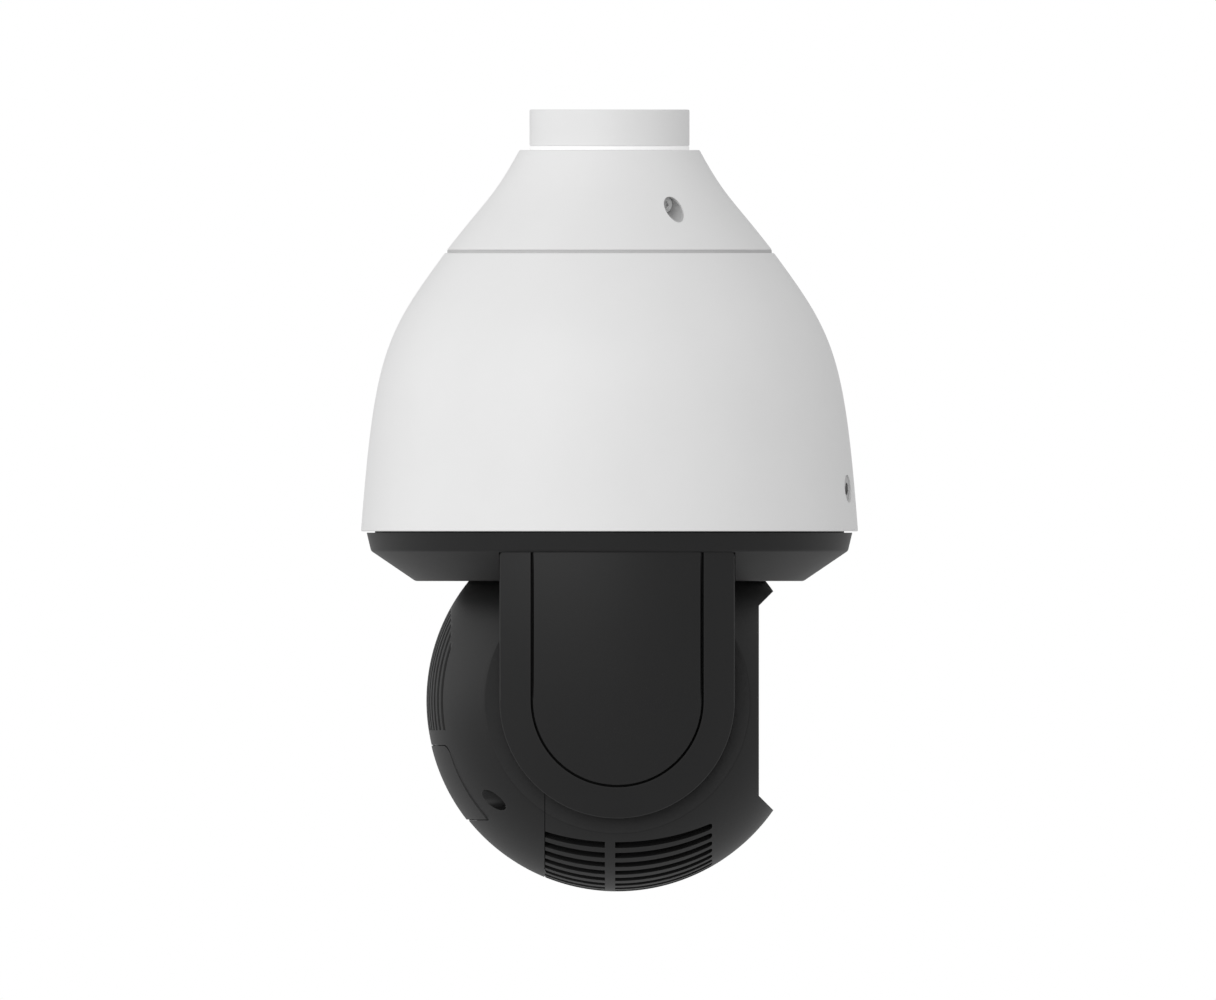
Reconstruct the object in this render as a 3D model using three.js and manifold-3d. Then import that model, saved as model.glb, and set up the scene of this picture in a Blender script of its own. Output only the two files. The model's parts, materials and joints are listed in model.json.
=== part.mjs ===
// A pendant pan, tilt and zoom surveillance camera, as an assembly of separate pieces in millimetres.
// It hangs from the top face of its collar, at z = 0. Z is the pan axis, Y is the direction of the tilt
// axis, and the lens looks along +X at rest. "Right" and "left" are the camera's own: right is -Y.
import * as THREE from 'three';
import { mergeVertices } from 'three/addons/utils/BufferGeometryUtils.js';
import Module from 'manifold-3d';

const wasm = await Module();
wasm.setup();

// ---- Driving dimensions ----
const GAP = 0.3; // between separate pieces that lie against each other
const LARGE_SIDES = 32; // sides of the housings' circles
const MEDIUM_SIDES = 24; // sides of the drive's and the lens's circles
const SMALL_SIDES = 16; // sides of shafts and screws
const ROOM_SIDES = 20; // sides of the room inside the head and of what lines it
const OUTSIDE_STEPS = 6; // straight steps in a moulding's outer outline
const INSIDE_STEPS = 4; // and in its inner one
const RIGHT = -1;
const LEFT = 1;

const collar = { radius: 38.7, bore: 24, bottom: -17.7, neck: 30, flange: 66, flangeTop: -63.7, end: -68.7 };
const gasket = { inner: 30.6, outer: 37.2, top: -18, bottom: -19.3 };
const cone = { top: [43.55, -19.6], pull: [56.1, -42.81], push: [59.58, -43.3], bottom: [78.63, -67.99] };
const bell = { top: [79.6, -69.44], pull: [108.66, -108.94], push: [113.73, -117.88], bottom: [120.25, -204.1] };
const wall = { cone: 3.4, bell: 3.4, lid: 3, base: 3, head: 3 };
const coneScrew = { azimuth: 30, radius: 62.9, height: -48.5, droop: 13, hole: 5, seat: 14 };
const bellScrew = { azimuth: 77, radius: 118.7, height: -183.6, hole: 6.75 };
const chassis = { radius: 108, top: -174, bottom: -178, postRadius: 60, postThick: 4 };
const base = { top: -204.4, rim: 117.6, waist: 115.4, chamferTop: -213.6, foot: 93.9, bottom: -228.2 };
const pan = { shaft: 14, bore: 10, pulley: 45, motorPulley: 10, motorX: -72, beltTop: -129.3, beltBottom: -136.7 };
const tilt = { x: 3.7, z: -286.1, shaft: 12, bore: 7, pulley: 24, motorPulley: 7.5, motorRise: 46.1 };
const well = { radius: 94, halfWidth: 68.3 };
const arm = { top: -214.6, halfWidth: 56.9, near: 68, far: 118, reach: 114.2, depth: 191.1, corner: 2.6 };
const armCover = { top: -216.5, halfWidth: 40.85, thick: 3, groove: 1.1, pocket: 37.4, pocketTop: -220, floor: 72 };
const bearing = { inner: 12.3, outer: 19, near: 69, far: 75.5, seat: 23 };
const belt = { near: 88.1, far: 91.9, thick: 1.3, slack: 0.3 };
const head = { radius: 92.4, halfWidth: 66.1, seam: -35, face: 68.6, channel: 46, flare: 30 };
const fin = { count: 16, pitch: 4.84, width: 2.4, floor: -80.5, low: -14.3, high: 60 };
const vent = { count: 17, step: 5.1, width: 4.5, rib: [-5.9, -1], end: 46, clear: 4, depth: 22.3 };
const hatch = { halfWidth: 36.7, top: -21.8, bottom: -57.5, upperCorner: 4.5, lowerCorner: 1.5, droop: 0.9 };
const shellScrew = { x: -60.1, y: 51, z: -48, hole: 4.95, seat: -50 };
const glass = { radius: 54, halfHeight: 38, front: 68.4, back: 65.4, lip: 3.5 };
const barrel = { radius: 26, bore: 23, back: 12.3, front: 58.7 };
const block = { back: -24, front: 12, half: 26, inside: 23 };
const led = { y: 39, pitch: 13, radius: 6, count: 3 };
const fan = { half: 20, bore: 18, top: -42, bottom: -52, blades: 7 };

// ---- Finishes: colour, roughness, metalness ----
const white = () => new THREE.MeshStandardMaterial({ color: 0xe9e9e9, roughness: 0.5, metalness: 0 });
const black = () => new THREE.MeshStandardMaterial({ color: 0x2b2b2b, roughness: 0.55, metalness: 0 });
const rubber = () => new THREE.MeshStandardMaterial({ color: 0x161616, roughness: 0.85, metalness: 0 });
const paleRubber = () => new THREE.MeshStandardMaterial({ color: 0xf2f2f2, roughness: 0.7, metalness: 0 });
const aluminium = () => new THREE.MeshStandardMaterial({ color: 0xb4b6b8, roughness: 0.4, metalness: 1 });
const steel = () => new THREE.MeshStandardMaterial({ color: 0x9a9c9e, roughness: 0.3, metalness: 1 });
const circuit = () => new THREE.MeshStandardMaterial({ color: 0x1d5a35, roughness: 0.5, metalness: 0 });
const plastic = () => new THREE.MeshStandardMaterial({ color: 0x1c1c1e, roughness: 0.6, metalness: 0 });
const clear = () => new THREE.MeshStandardMaterial({ color: 0x20262a, roughness: 0.05, metalness: 0 });

// ---- Solids ----
/** Six times the signed volume of a closed indexed mesh. */
function signedVolume(position, index) {
  const [a, b, c] = [new THREE.Vector3(), new THREE.Vector3(), new THREE.Vector3()];
  let sum = 0;
  for (let i = 0; i < index.length; i += 3) {
    a.fromBufferAttribute(position, index[i]);
    b.fromBufferAttribute(position, index[i + 1]);
    c.fromBufferAttribute(position, index[i + 2]);
    sum += a.dot(b.cross(c));
  }
  return sum;
}

/** The same closed surface with shared corners merged, needle faces dropped and every face outward. */
function closed(geometry) {
  geometry.deleteAttribute('normal');
  geometry.deleteAttribute('uv');
  const merged = mergeVertices(geometry, 1e-4);
  const all = merged.index.array;
  const kept = [];
  for (let i = 0; i < all.length; i += 3) {
    const [a, b, c] = [all[i], all[i + 1], all[i + 2]];
    if (a !== b && b !== c && c !== a) kept.push(a, b, c);
  }
  const outward = signedVolume(merged.attributes.position, kept) > 0;
  merged.setIndex(outward ? kept : kept.reverse());
  return merged;
}

/** A three.js geometry as a solid that can be joined and cut. */
function solid(geometry) {
  const surface = closed(geometry);
  const vertProperties = new Float32Array(surface.attributes.position.array);
  const triVerts = new Uint32Array(surface.index.array);
  return new wasm.Manifold(new wasm.Mesh({ numProp: 3, vertProperties, triVerts }));
}

/** A joined or cut solid back as a three.js geometry. */
function surfaceOf(body) {
  const mesh = body.getMesh();
  const geometry = new THREE.BufferGeometry();
  geometry.setAttribute('position', new THREE.BufferAttribute(mesh.vertProperties, 3));
  geometry.setIndex(new THREE.BufferAttribute(mesh.triVerts, 1));
  geometry.computeVertexNormals();
  return geometry;
}

const joined = (first, ...others) => others.reduce((sum, other) => sum.add(other), first);
const cut = (first, ...others) => others.reduce((rest, other) => rest.subtract(other), first);

/** Turns geometry made about Y so that it stands about the named axis. */
function stand(geometry, axis) {
  if (axis === 'z') geometry.rotateX(Math.PI / 2);
  if (axis === 'x') geometry.rotateZ(-Math.PI / 2);
  return geometry;
}

/** A solid of revolution of [radius, height] corners about an axis. */
function turned(outline, axis = 'z', sides = LARGE_SIDES) {
  const onAxis = outline[0][0] === 0;
  const corners = onAxis ? outline : [...outline, outline[0]];
  const points = corners.map(([radius, height]) => new THREE.Vector2(radius, height));
  return solid(stand(new THREE.LatheGeometry(points, sides), axis));
}

/** A plain ring, or a disc where inner is 0. */
function ring(inner, outer, from, to, axis = 'z', sides = LARGE_SIDES) {
  return turned([[inner, from], [outer, from], [outer, to], [inner, to]], axis, sides);
}

/** A rectangular block between two limits on each axis. */
function box([x0, x1], [y0, y1], [z0, z1]) {
  const geometry = new THREE.BoxGeometry(x1 - x0, y1 - y0, z1 - z0);
  return solid(geometry.translate((x0 + x1) / 2, (y0 + y1) / 2, (z0 + z1) / 2));
}

/** A round rod from one point to another. */
function rod(radius, from, to, sides = SMALL_SIDES) {
  const way = to.clone().sub(from);
  const geometry = new THREE.CylinderGeometry(radius, radius, way.length(), sides);
  geometry.translate(0, way.length() / 2, 0);
  const turn = new THREE.Quaternion().setFromUnitVectors(new THREE.Vector3(0, 1, 0), way.normalize());
  return solid(geometry.applyQuaternion(turn).translate(from.x, from.y, from.z));
}

/** A flat outline drawn in x and z, made solid between two values of y. */
function slabY(shape, y0, y1, curveSegments = 8) {
  const geometry = new THREE.ExtrudeGeometry(shape, { depth: y1 - y0, bevelEnabled: false, curveSegments });
  return solid(geometry.rotateX(Math.PI / 2).translate(0, y1, 0));
}

/** A flat outline drawn in y and z, made solid between two values of x. */
function slabX(shape, x0, x1, curveSegments = 6) {
  const geometry = new THREE.ExtrudeGeometry(shape, { depth: x1 - x0, bevelEnabled: false, curveSegments });
  const [acrossY, upZ, alongX] = [[0, 1, 0], [0, 0, 1], [1, 0, 0]].map((v) => new THREE.Vector3(...v));
  geometry.applyMatrix4(new THREE.Matrix4().makeBasis(acrossY, upZ, alongX));
  return solid(geometry.translate(x0, 0, 0));
}

const at = (x, y, z) => new THREE.Vector3(x, y, z);
const radians = THREE.MathUtils.degToRad;
const span = (side, near, far) => (side > 0 ? [near, far] : [-far, -near]);

const camera = new THREE.Group();
const tiltCentre = new THREE.Group();
tiltCentre.position.set(tilt.x, 0, tilt.z);
camera.add(tiltCentre);

/** Adds one named piece to a group. */
function add(name, body, material, group = camera) {
  const mesh = new THREE.Mesh(surfaceOf(body), material());
  mesh.name = name;
  group.add(mesh);
}

// ---- Ceiling housing ----
/** Corners along a moulded outline that starts and ends on two points. */
function mouldedOutline({ top, pull, push, bottom }, steps = OUTSIDE_STEPS) {
  const points = [top, pull, push, bottom].map(([radius, height]) => new THREE.Vector2(radius, height));
  return new THREE.CubicBezierCurve(...points).getPoints(steps).map((point) => [point.x, point.y]);
}

/** The inner corners of a moulded skin, from under its lid down. */
function mouldedInside(outline, inset, lidUnder) {
  const below = mouldedOutline(outline, INSIDE_STEPS * 10).filter(([, height]) => height < lidUnder);
  const corners = [];
  for (let step = 0; step <= INSIDE_STEPS; step += 1) {
    const [radius, height] = below[Math.round((step / INSIDE_STEPS) * (below.length - 1))];
    corners.push([radius - inset, step === 0 ? lidUnder : height]);
  }
  return corners;
}

/** A bell-shaped skin with a flat ring-shaped lid at its top. */
function mouldedShell(outline, inset, lidHole) {
  const lidUnder = outline.top[1] - wall.lid;
  const inside = mouldedInside(outline, inset, lidUnder);
  return turned([[lidHole, outline.top[1]], ...mouldedOutline(outline), ...inside.reverse(), [lidHole, lidUnder]]);
}

/** The point a given depth down a cone screw's axis, below the cover's surface. */
function coneScrewPoint(turn, depth) {
  const angle = radians(coneScrew.azimuth + turn);
  const droop = radians(coneScrew.droop);
  const radius = coneScrew.radius - depth * Math.cos(droop);
  const height = coneScrew.height + depth * Math.sin(droop);
  return at(radius * Math.sin(angle), -radius * Math.cos(angle), height);
}

const coneScrewRod = (turn, radius, from, to, sides) =>
  rod(radius, coneScrewPoint(turn, from), coneScrewPoint(turn, to), sides);

/** The pipe collar, its neck inside the cone and the flange that carries the bell. */
function mountingCollar() {
  const { radius, bore, bottom, neck, flange, flangeTop, end } = collar;
  const casting = turned([
    [bore, 0], [radius, 0], [radius, bottom], [neck, bottom],
    [neck, flangeTop], [flange, flangeTop], [flange, end], [bore, end],
  ], 'z', MEDIUM_SIDES);
  return cut(casting, coneScrewRod(0, 2.7, 30, 38.5, 8), coneScrewRod(180, 2.7, 30, 38.5, 8));
}

/** The flared top cover, with a tube inside each screw hole. */
function coneCover() {
  const filled = turned([[0, cone.top[1]], ...mouldedOutline(cone), [0, cone.bottom[1]]]);
  let cover = mouldedShell(cone, wall.cone, collar.neck + GAP);
  for (const turn of [0, 180]) {
    const tube = coneScrewRod(turn, coneScrew.hole + 2.5, 0, coneScrew.seat + 3, 12).intersect(filled);
    cover = cut(
      joined(cover, tube),
      coneScrewRod(turn, coneScrew.hole, -16, coneScrew.seat, 12),
      coneScrewRod(turn, 2.8, coneScrew.seat - 1, coneScrew.seat + 5, 8),
    );
  }
  return cover;
}

/** A socket-head screw that holds the cover to the neck. */
function coneCoverScrew(turn) {
  const under = coneScrew.seat - GAP;
  const screw = joined(coneScrewRod(turn, 4.3, under - 4, under), coneScrewRod(turn, 2.4, under - 1, 38, 8));
  return cut(screw, coneScrewRod(turn, 2.1, under - 5, under - 1.8, 6));
}

/** A point beside a bell screw's axis: out along the radius and across it. */
function bellScrewPoint(turn, radius) {
  const angle = radians(bellScrew.azimuth + turn);
  return at(radius * Math.sin(angle), -radius * Math.cos(angle), bellScrew.height);
}

const bellScrewRod = (turn, radius, from, to, sides) =>
  rod(radius, bellScrewPoint(turn, from), bellScrewPoint(turn, to), sides);

/** The main bell, with a round clearance hole for each rim screw. */
function bellHousing() {
  const holes = [0, 180].map((turn) => bellScrewRod(turn, bellScrew.hole, 108, 126));
  return cut(mouldedShell(bell, wall.bell, 44), ...holes);
}

/** A low screw that holds the bell's rim to a lug of the chassis. */
function bellRimScrew(turn) {
  const face = bellScrew.radius - 1;
  const screw = joined(bellScrewRod(turn, 6.3, face - 3.5, face), bellScrewRod(turn, 2.5, 104, face - 2, 8));
  return cut(screw, bellScrewRod(turn, 2.4, face - 2, face + 1, 6));
}

/** The round plate that carries the pan bearing and motor, with two lugs for the bell's screws. */
function chassisPlate() {
  let plate = joined(
    ring(bearing.outer + 3.3, chassis.radius, chassis.bottom, chassis.top),
    ring(bearing.outer + 3.3, bearing.outer + 8, chassis.bottom - 3, chassis.top + 3, 'z', MEDIUM_SIDES),
  );
  for (const turn of [0, 180]) {
    const lug = new THREE.BoxGeometry(12, 11.5, 15);
    lug.translate(0, -106.5, chassis.top - 7.5).rotateZ(radians(bellScrew.azimuth + turn));
    plate = cut(joined(plate, solid(lug)), bellScrewRod(turn, 2.8, 103, 116, 8));
  }
  return plate;
}

/** Where one of the three posts stands. */
function postPlace(number) {
  const angle = radians(90 + 120 * number);
  return [chassis.postRadius * Math.cos(angle), chassis.postRadius * Math.sin(angle)];
}

const post = (number, radius, from, to) =>
  rod(radius, at(...postPlace(number), from), at(...postPlace(number), to), 16);

/** The disc that holds the slip ring and, on four pillars, the main board. */
function slipRingBracket() {
  const pillars = [];
  for (const x of [-36, 36]) {
    for (const y of [-26, 26]) pillars.push(rod(3, at(x, y, -104), at(x, y, -91.9), 8));
  }
  const holes = [0, 1, 2].map((number) => post(number, chassis.postThick + GAP, -110, -100));
  return cut(joined(ring(16.3, 66, -106, -103, 'z', MEDIUM_SIDES), ...pillars), ...holes);
}

/** The slip ring's fixed can, with its mounting rim. */
function slipRingStator() {
  const can = [[0, -97], [16, -97], [16, -100.7], [22, -100.7], [22, -102.7], [16, -102.7], [16, -121], [0, -121]];
  return turned(can, 'z', MEDIUM_SIDES);
}

/** The slip ring's turning spindle, which sits in the top of the pan shaft. */
function slipRingRotor() {
  const outline = [[0, -121.3], [7, -121.3], [7, -124], [13, -124], [13, -126.2], [7, -126.2], [7, -145], [0, -145]];
  return turned(outline, 'z', SMALL_SIDES);
}

/** The main board with its processor, transformer, capacitors and shield. */
function mainBoard() {
  const board = box([-42, 42], [-32, 32], [-91.6, -90]);
  const chip = box([-8, 10], [12, 28], [-90.1, -88]);
  const transformer = box([-30, -16], [12, 26], [-90.1, -80]);
  const shield = box([16, 38], [-28, -12], [-90.1, -86.5]);
  const capacitors = [-34, -24, -14].map((x) => rod(4, at(x, -22, -90.1), at(x, -22, -79), 12));
  return joined(board, chip, transformer, shield, ...capacitors);
}

/** The network socket on the main board, open upwards to the cable way. */
function networkSocket() {
  return cut(box([16, 32], [-8, 8], [-89.7, -76]), box([18, 30], [-6, 5], [-86.5, -70]));
}

/** The two-wire power terminal on the main board. */
function powerTerminal() {
  const wires = [-28.5, -21.5].map((x) => rod(2, at(x, 0, -85), at(x, 0, -75), 12));
  return cut(box([-32, -18], [-6, 6], [-89.7, -79.5]), ...wires);
}

/** A square motor can with a round boss and a hole for its shaft. Its shaft stands up from the top. */
function panMotor() {
  const can = box([pan.motorX - 21, pan.motorX + 21], [-21, 21], [chassis.top + GAP, -143.7]);
  const boss = rod(11, at(pan.motorX, 0, -145), at(pan.motorX, 0, -141.8));
  const corners = [];
  for (const x of [-15.5, 15.5]) {
    for (const y of [-15.5, 15.5]) {
      const place = at(pan.motorX + x, y, -146);
      corners.push(rod(1.7, place, place.clone().setZ(-143), 8));
    }
  }
  return cut(joined(can, boss), rod(2.9, at(pan.motorX, 0, -160), at(pan.motorX, 0, -140), 16), ...corners);
}

/** A flanged belt pulley between two heights, with the belt's groove between its flanges. */
function pulley(bore, radius, from, to, flange, axis, sides) {
  const rim = 0.8;
  return turned(
    [
      [bore, from], [flange, from], [flange, from + rim], [radius, from + rim],
      [radius, to - rim], [flange, to - rim], [flange, to], [bore, to],
    ],
    axis,
    sides,
  );
}

/** The loop round two circles, the small one a distance away along -x. */
function loopPath(path, large, small, distance) {
  const lean = Math.acos((large - small) / distance);
  path.absarc(0, 0, large, lean - Math.PI, Math.PI - lean, false);
  path.absarc(-distance, 0, small, Math.PI - lean, Math.PI + lean, false);
  path.closePath();
  return path;
}

/** A flat belt round two pulleys, lying in x and y from z = 0 up. */
function beltGeometry(large, small, distance, width) {
  const { slack, thick } = belt;
  const shape = loopPath(new THREE.Shape(), large + slack + thick, small + slack + thick, distance);
  shape.holes.push(loopPath(new THREE.Path(), large + slack, small + slack, distance));
  return new THREE.ExtrudeGeometry(shape, { depth: width, bevelEnabled: false, curveSegments: 9 });
}

/** The belt from the pan motor to the pan shaft. */
function panBelt() {
  const width = pan.beltTop - pan.beltBottom;
  const loop = beltGeometry(pan.pulley, pan.motorPulley, -pan.motorX, width);
  return solid(loop.translate(0, 0, pan.beltBottom));
}

// ---- Pan yoke ----
/** The rounded solid about the tilt axis that a ball cut flat on both sides makes. */
function flatBall(radius, halfWidth, sides = LARGE_SIDES, steps = 4) {
  const lean = Math.asin(halfWidth / radius);
  const rim = [];
  for (let i = 0; i <= steps; i += 1) {
    const angle = lean * ((2 * i) / steps - 1);
    rim.push([radius * Math.cos(angle), radius * Math.sin(angle)]);
  }
  return turned([[0, -halfWidth], ...rim, [0, halfWidth]], 'y', sides);
}

const wellBall = (extra) => flatBall(well.radius + extra, well.halfWidth + extra).translate([tilt.x, 0, tilt.z]);

/** The rim and chamfer of the turning disc, a distance inside its skin. */
function baseOutline(inset, top, bottom) {
  const { rim, waist, chamferTop, foot } = base;
  return [
    [0, top], [rim - inset, top], [waist - inset, chamferTop + inset / 3],
    [foot - inset / 3, bottom], [0, bottom],
  ];
}

/** The seat around one arm's head, let into the disc's edge. */
function armSeat(side, disc) {
  const reach = arm.halfWidth + wall.base;
  const across = [tilt.x - reach, tilt.x + reach];
  return box(across, span(side, 65, arm.far), [base.bottom, arm.top + GAP + wall.base]).intersect(disc);
}

/** The room that one arm's head takes in the disc, and the cable hole above it. */
function armNotch(side) {
  const reach = arm.halfWidth + GAP;
  const across = [tilt.x - reach, tilt.x + reach];
  const room = box(across, span(side, arm.near - GAP, arm.far + 2), [-240, arm.top + GAP]);
  return joined(room, rod(8, at(tilt.x, side * 90, -216), at(tilt.x, side * 90, -205)));
}

/** The turning black disc: a tray with a round well for the head and a boss for the shaft. */
function panBase() {
  const { top, bottom } = base;
  const disc = turned(baseOutline(0, top, bottom));
  const tray = turned(baseOutline(wall.base, top + 4, bottom + wall.base));
  const dome = cut(wellBall(wall.base), box([-130, 130], [-130, 130], [-400, bottom]));
  const boss = ring(0, 24, -200, -187, 'z', MEDIUM_SIDES);
  const seats = [RIGHT, LEFT].map((side) => armSeat(side, disc));
  const body = joined(cut(disc, tray), dome, boss, ...seats);
  const cableWay = box([-5, 5], [0, 30], [-190.6, -180]);
  return cut(body, wellBall(0), armNotch(RIGHT), armNotch(LEFT), cableWay);
}

/** The hollow shaft that carries everything below. */
function panShaft() {
  const { shaft, bore } = pan;
  const outline = [[bore, -186.7], [24, -186.7], [24, -183.7], [shaft, -183.7], [shaft, -126.5], [bore, -126.5]];
  return turned(outline, 'z', MEDIUM_SIDES);
}

/** An arched outline: straight sides down to the tilt axis and a half circle below it. */
function arch(halfWidth, top, corner = 0.8) {
  const shape = new THREE.Shape();
  const [left, right] = [tilt.x - halfWidth, tilt.x + halfWidth];
  shape.absarc(tilt.x, tilt.z, halfWidth, Math.PI, 2 * Math.PI, false);
  shape.absarc(right - corner, top - corner, corner, 0, Math.PI / 2, false);
  shape.absarc(left + corner, top - corner, corner, Math.PI / 2, Math.PI, false);
  shape.closePath();
  return shape;
}

/** The rounded outer surface that both arms share, as a solid about the pan axis. */
function armRound(inset) {
  const steps = 5;
  const outline = [[0, arm.top + 1]];
  for (let i = 0; i <= steps; i += 1) {
    const drop = (i / steps) * 140;
    const reach = arm.reach * Math.sqrt(1 - (drop / arm.depth) ** 2);
    outline.push([reach - inset, arm.top + (i === 0 ? 1 : 0) - drop]);
  }
  outline.push([0, arm.top - 140]);
  return turned(outline);
}

/** One yoke arm: a shallow box for the drive, open on its outer side. */
function yokeArm(side) {
  const { near, far, halfWidth, top, corner } = arm;
  const { groove, pocket, pocketTop, floor, thick } = armCover;
  const block = slabY(arch(halfWidth, top, corner), ...span(side, near, far)).intersect(armRound(0));
  const hollow = slabY(arch(pocket, pocketTop), ...span(side, floor, far));
  const lip = slabY(arch(armCover.halfWidth + groove, armCover.top + groove), ...span(side, near, far));
  const rebate = cut(lip, armRound(thick + GAP));
  const seat = ring(bearing.outer + GAP, bearing.seat, ...span(side, near, floor + 4), 'y', MEDIUM_SIDES);
  const bore = ring(0, bearing.outer + GAP, ...span(side, near - 1, floor + 5), 'y', MEDIUM_SIDES);
  const place = [tilt.x, 0, tilt.z];
  const cable = rod(8, at(tilt.x, side * 90, -222), at(tilt.x, side * 90, -212));
  return joined(cut(block, hollow, rebate, bore.translate(place), cable), seat.translate(place));
}

/** The inset cover that closes an arm. */
function yokeArmCover(side) {
  const panel = slabY(arch(armCover.halfWidth, armCover.top, 1.2), ...span(side, 60, arm.far));
  return cut(panel.intersect(armRound(0)), armRound(armCover.thick));
}

/** The flat motor in the right arm. Its shaft points outwards. */
function tiltMotor() {
  const height = tilt.z + tilt.motorRise;
  const can = box([tilt.x - 17, tilt.x + 17], span(RIGHT, 72.3, 84), [height - 17, height + 17]);
  const boss = rod(9, at(tilt.x, -83, height), at(tilt.x, -85.5, height));
  return cut(joined(can, boss), rod(2.9, at(tilt.x, -76, height), at(tilt.x, -90, height), 16));
}

/** A motor's small pulley with the shaft it is pressed on. */
function motorPulley(radius, flange, from, to, shaftEnd, axis) {
  const pulleyPart = pulley(0, radius, from, to, flange, axis, SMALL_SIDES);
  return joined(pulleyPart, ring(0, 2.5, Math.min(from, shaftEnd), Math.max(from + 1, shaftEnd), axis, 16));
}

/** The tilt motor's small pulley, beside the large one. */
function tiltMotorPulley() {
  const small = pulley(0, tilt.motorPulley, -93, -87, 9.6, 'y', SMALL_SIDES);
  const shaft = ring(0, 2.5, -88, -78, 'y', 16);
  return joined(small, shaft).translate([tilt.x, 0, tilt.z + tilt.motorRise]);
}

/** The belt in the right arm, round the large pulley on the tilt axis and the motor's small one. */
function tiltBelt() {
  const loop = beltGeometry(tilt.pulley, tilt.motorPulley, tilt.motorRise, belt.far - belt.near);
  loop.rotateZ(-Math.PI / 2).rotateX(Math.PI / 2);
  return solid(loop.translate(tilt.x, -belt.near, tilt.z));
}

// ---- Camera head, about the tilt centre ----
/** The channel across the front of the ball that leaves a flat face and two flared visor lips. */
function faceChannel() {
  const { face, channel, flare } = head;
  const shape = new THREE.Shape();
  shape.moveTo(face, -channel);
  shape.lineTo(face + flare, -channel - flare);
  shape.lineTo(face + flare, channel + flare);
  shape.lineTo(face, channel);
  shape.closePath();
  return slabY(shape, -80, 80);
}

/** The room inside the head: thicker walls at the fins, behind the face and round the hatch. */
function headRoom() {
  const { radius, halfWidth, face } = head;
  const ball = flatBall(radius - wall.head, halfWidth - wall.head, ROOM_SIDES);
  const within = box([fin.floor + wall.head, face - 6], [-80, 80], [-100, 100]);
  const hatchFrame = box([-100, -50], [-41, 41], [hatch.bottom - 4.5, hatch.top + 4.5]);
  return cut(ball.intersect(within), cut(hatchFrame, flatBall(radius - 6, halfWidth, ROOM_SIDES)));
}

/** One radial slot in the underside, as a block turned about the lens axis. */
function ventSlot(number, from, to) {
  const angle = radians(vent.step * (number - (vent.count - 1) / 2));
  const slot = new THREE.BoxGeometry(to - from, vent.width, vent.depth);
  slot.translate((from + to) / 2, 0, vent.depth / 2 - head.radius - vent.clear).rotateX(angle);
  return solid(slot);
}

/** All the slots: two rows with a rib between them. */
function ventSlots() {
  const slots = [];
  for (let number = 0; number < vent.count; number += 1) {
    slots.push(ventSlot(number, head.seam - 1, vent.rib[0]), ventSlot(number, vent.rib[1], vent.end));
  }
  return joined(...slots);
}

/** The outline of the window, its rebate or its opening: a circle cut level above and below. */
function windowShape(radius, halfHeight) {
  const lean = Math.asin(halfHeight / radius);
  const shape = new THREE.Shape();
  shape.absarc(0, 0, radius, -lean, lean, false);
  shape.absarc(0, 0, radius, Math.PI - lean, Math.PI + lean, false);
  shape.closePath();
  return shape;
}

/** A pillar beside the shells' joint that takes a shell screw, tied to the side wall by a rib. */
function screwPillar(side) {
  const { y, z } = shellScrew;
  const pillar = rod(5, at(-32.5, side * y, z), at(-20, side * y, z));
  return joined(pillar, box([-32.5, -20], span(side, y, head.halfWidth - 2), [z - 1.5, z + 1.5]));
}

const shellScrewRod = (side, radius, from, to, sides) =>
  rod(radius, at(from, side * shellScrew.y, shellScrew.z), at(to, side * shellScrew.y, shellScrew.z), sides);

/** The front half of the head, with the face, the visor lips and the slots. */
function frontShell(ball, room) {
  const ahead = box([head.seam + GAP, 100], [-80, 80], [-100, 100]);
  const skin = cut(cut(ball, faceChannel()).intersect(ahead), room);
  const { radius, halfHeight, back, lip } = glass;
  const openings = [
    slabX(windowShape(radius + GAP, halfHeight + GAP), back - 1.3, head.face + 1),
    slabX(windowShape(radius - lip, halfHeight - lip), 50, head.face + 1),
    ring(0, tilt.shaft + GAP, -80, 80, 'y', SMALL_SIDES),
    ventSlots(),
  ];
  const pillars = joined(screwPillar(RIGHT), screwPillar(LEFT));
  const threads = [RIGHT, LEFT].map((side) => shellScrewRod(side, 2.3, -40, -24, 12));
  return cut(joined(cut(skin, ...openings), pillars), ...threads);
}

/** The cooling grooves down the back of the head. */
function finGrooves() {
  const grooves = [];
  for (let number = 0; number < fin.count; number += 1) {
    const y = fin.pitch * (number - (fin.count - 1) / 2);
    grooves.push(box([-100, fin.floor], [y - fin.width / 2, y + fin.width / 2], [fin.low, fin.high]));
  }
  return joined(...grooves);
}

/** The hatch's outline, a distance inside its edge. */
function hatchShape(inset) {
  const { halfWidth, top, bottom, upperCorner, lowerCorner } = hatch;
  const [side, high, low] = [halfWidth - inset, top - inset, bottom + inset];
  const shape = new THREE.Shape();
  shape.absarc(side - upperCorner, high - upperCorner, upperCorner, 0, Math.PI / 2, false);
  shape.absarc(upperCorner - side, high - upperCorner, upperCorner, Math.PI / 2, Math.PI, false);
  shape.absarc(lowerCorner - side, low + lowerCorner, lowerCorner, Math.PI, 1.5 * Math.PI, false);
  shape.absarc(side - lowerCorner, low + lowerCorner, lowerCorner, 1.5 * Math.PI, 2 * Math.PI, false);
  shape.closePath();
  return shape;
}

const hatchSlab = (inset) => slabX(hatchShape(inset), -110, -50, 2);

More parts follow.
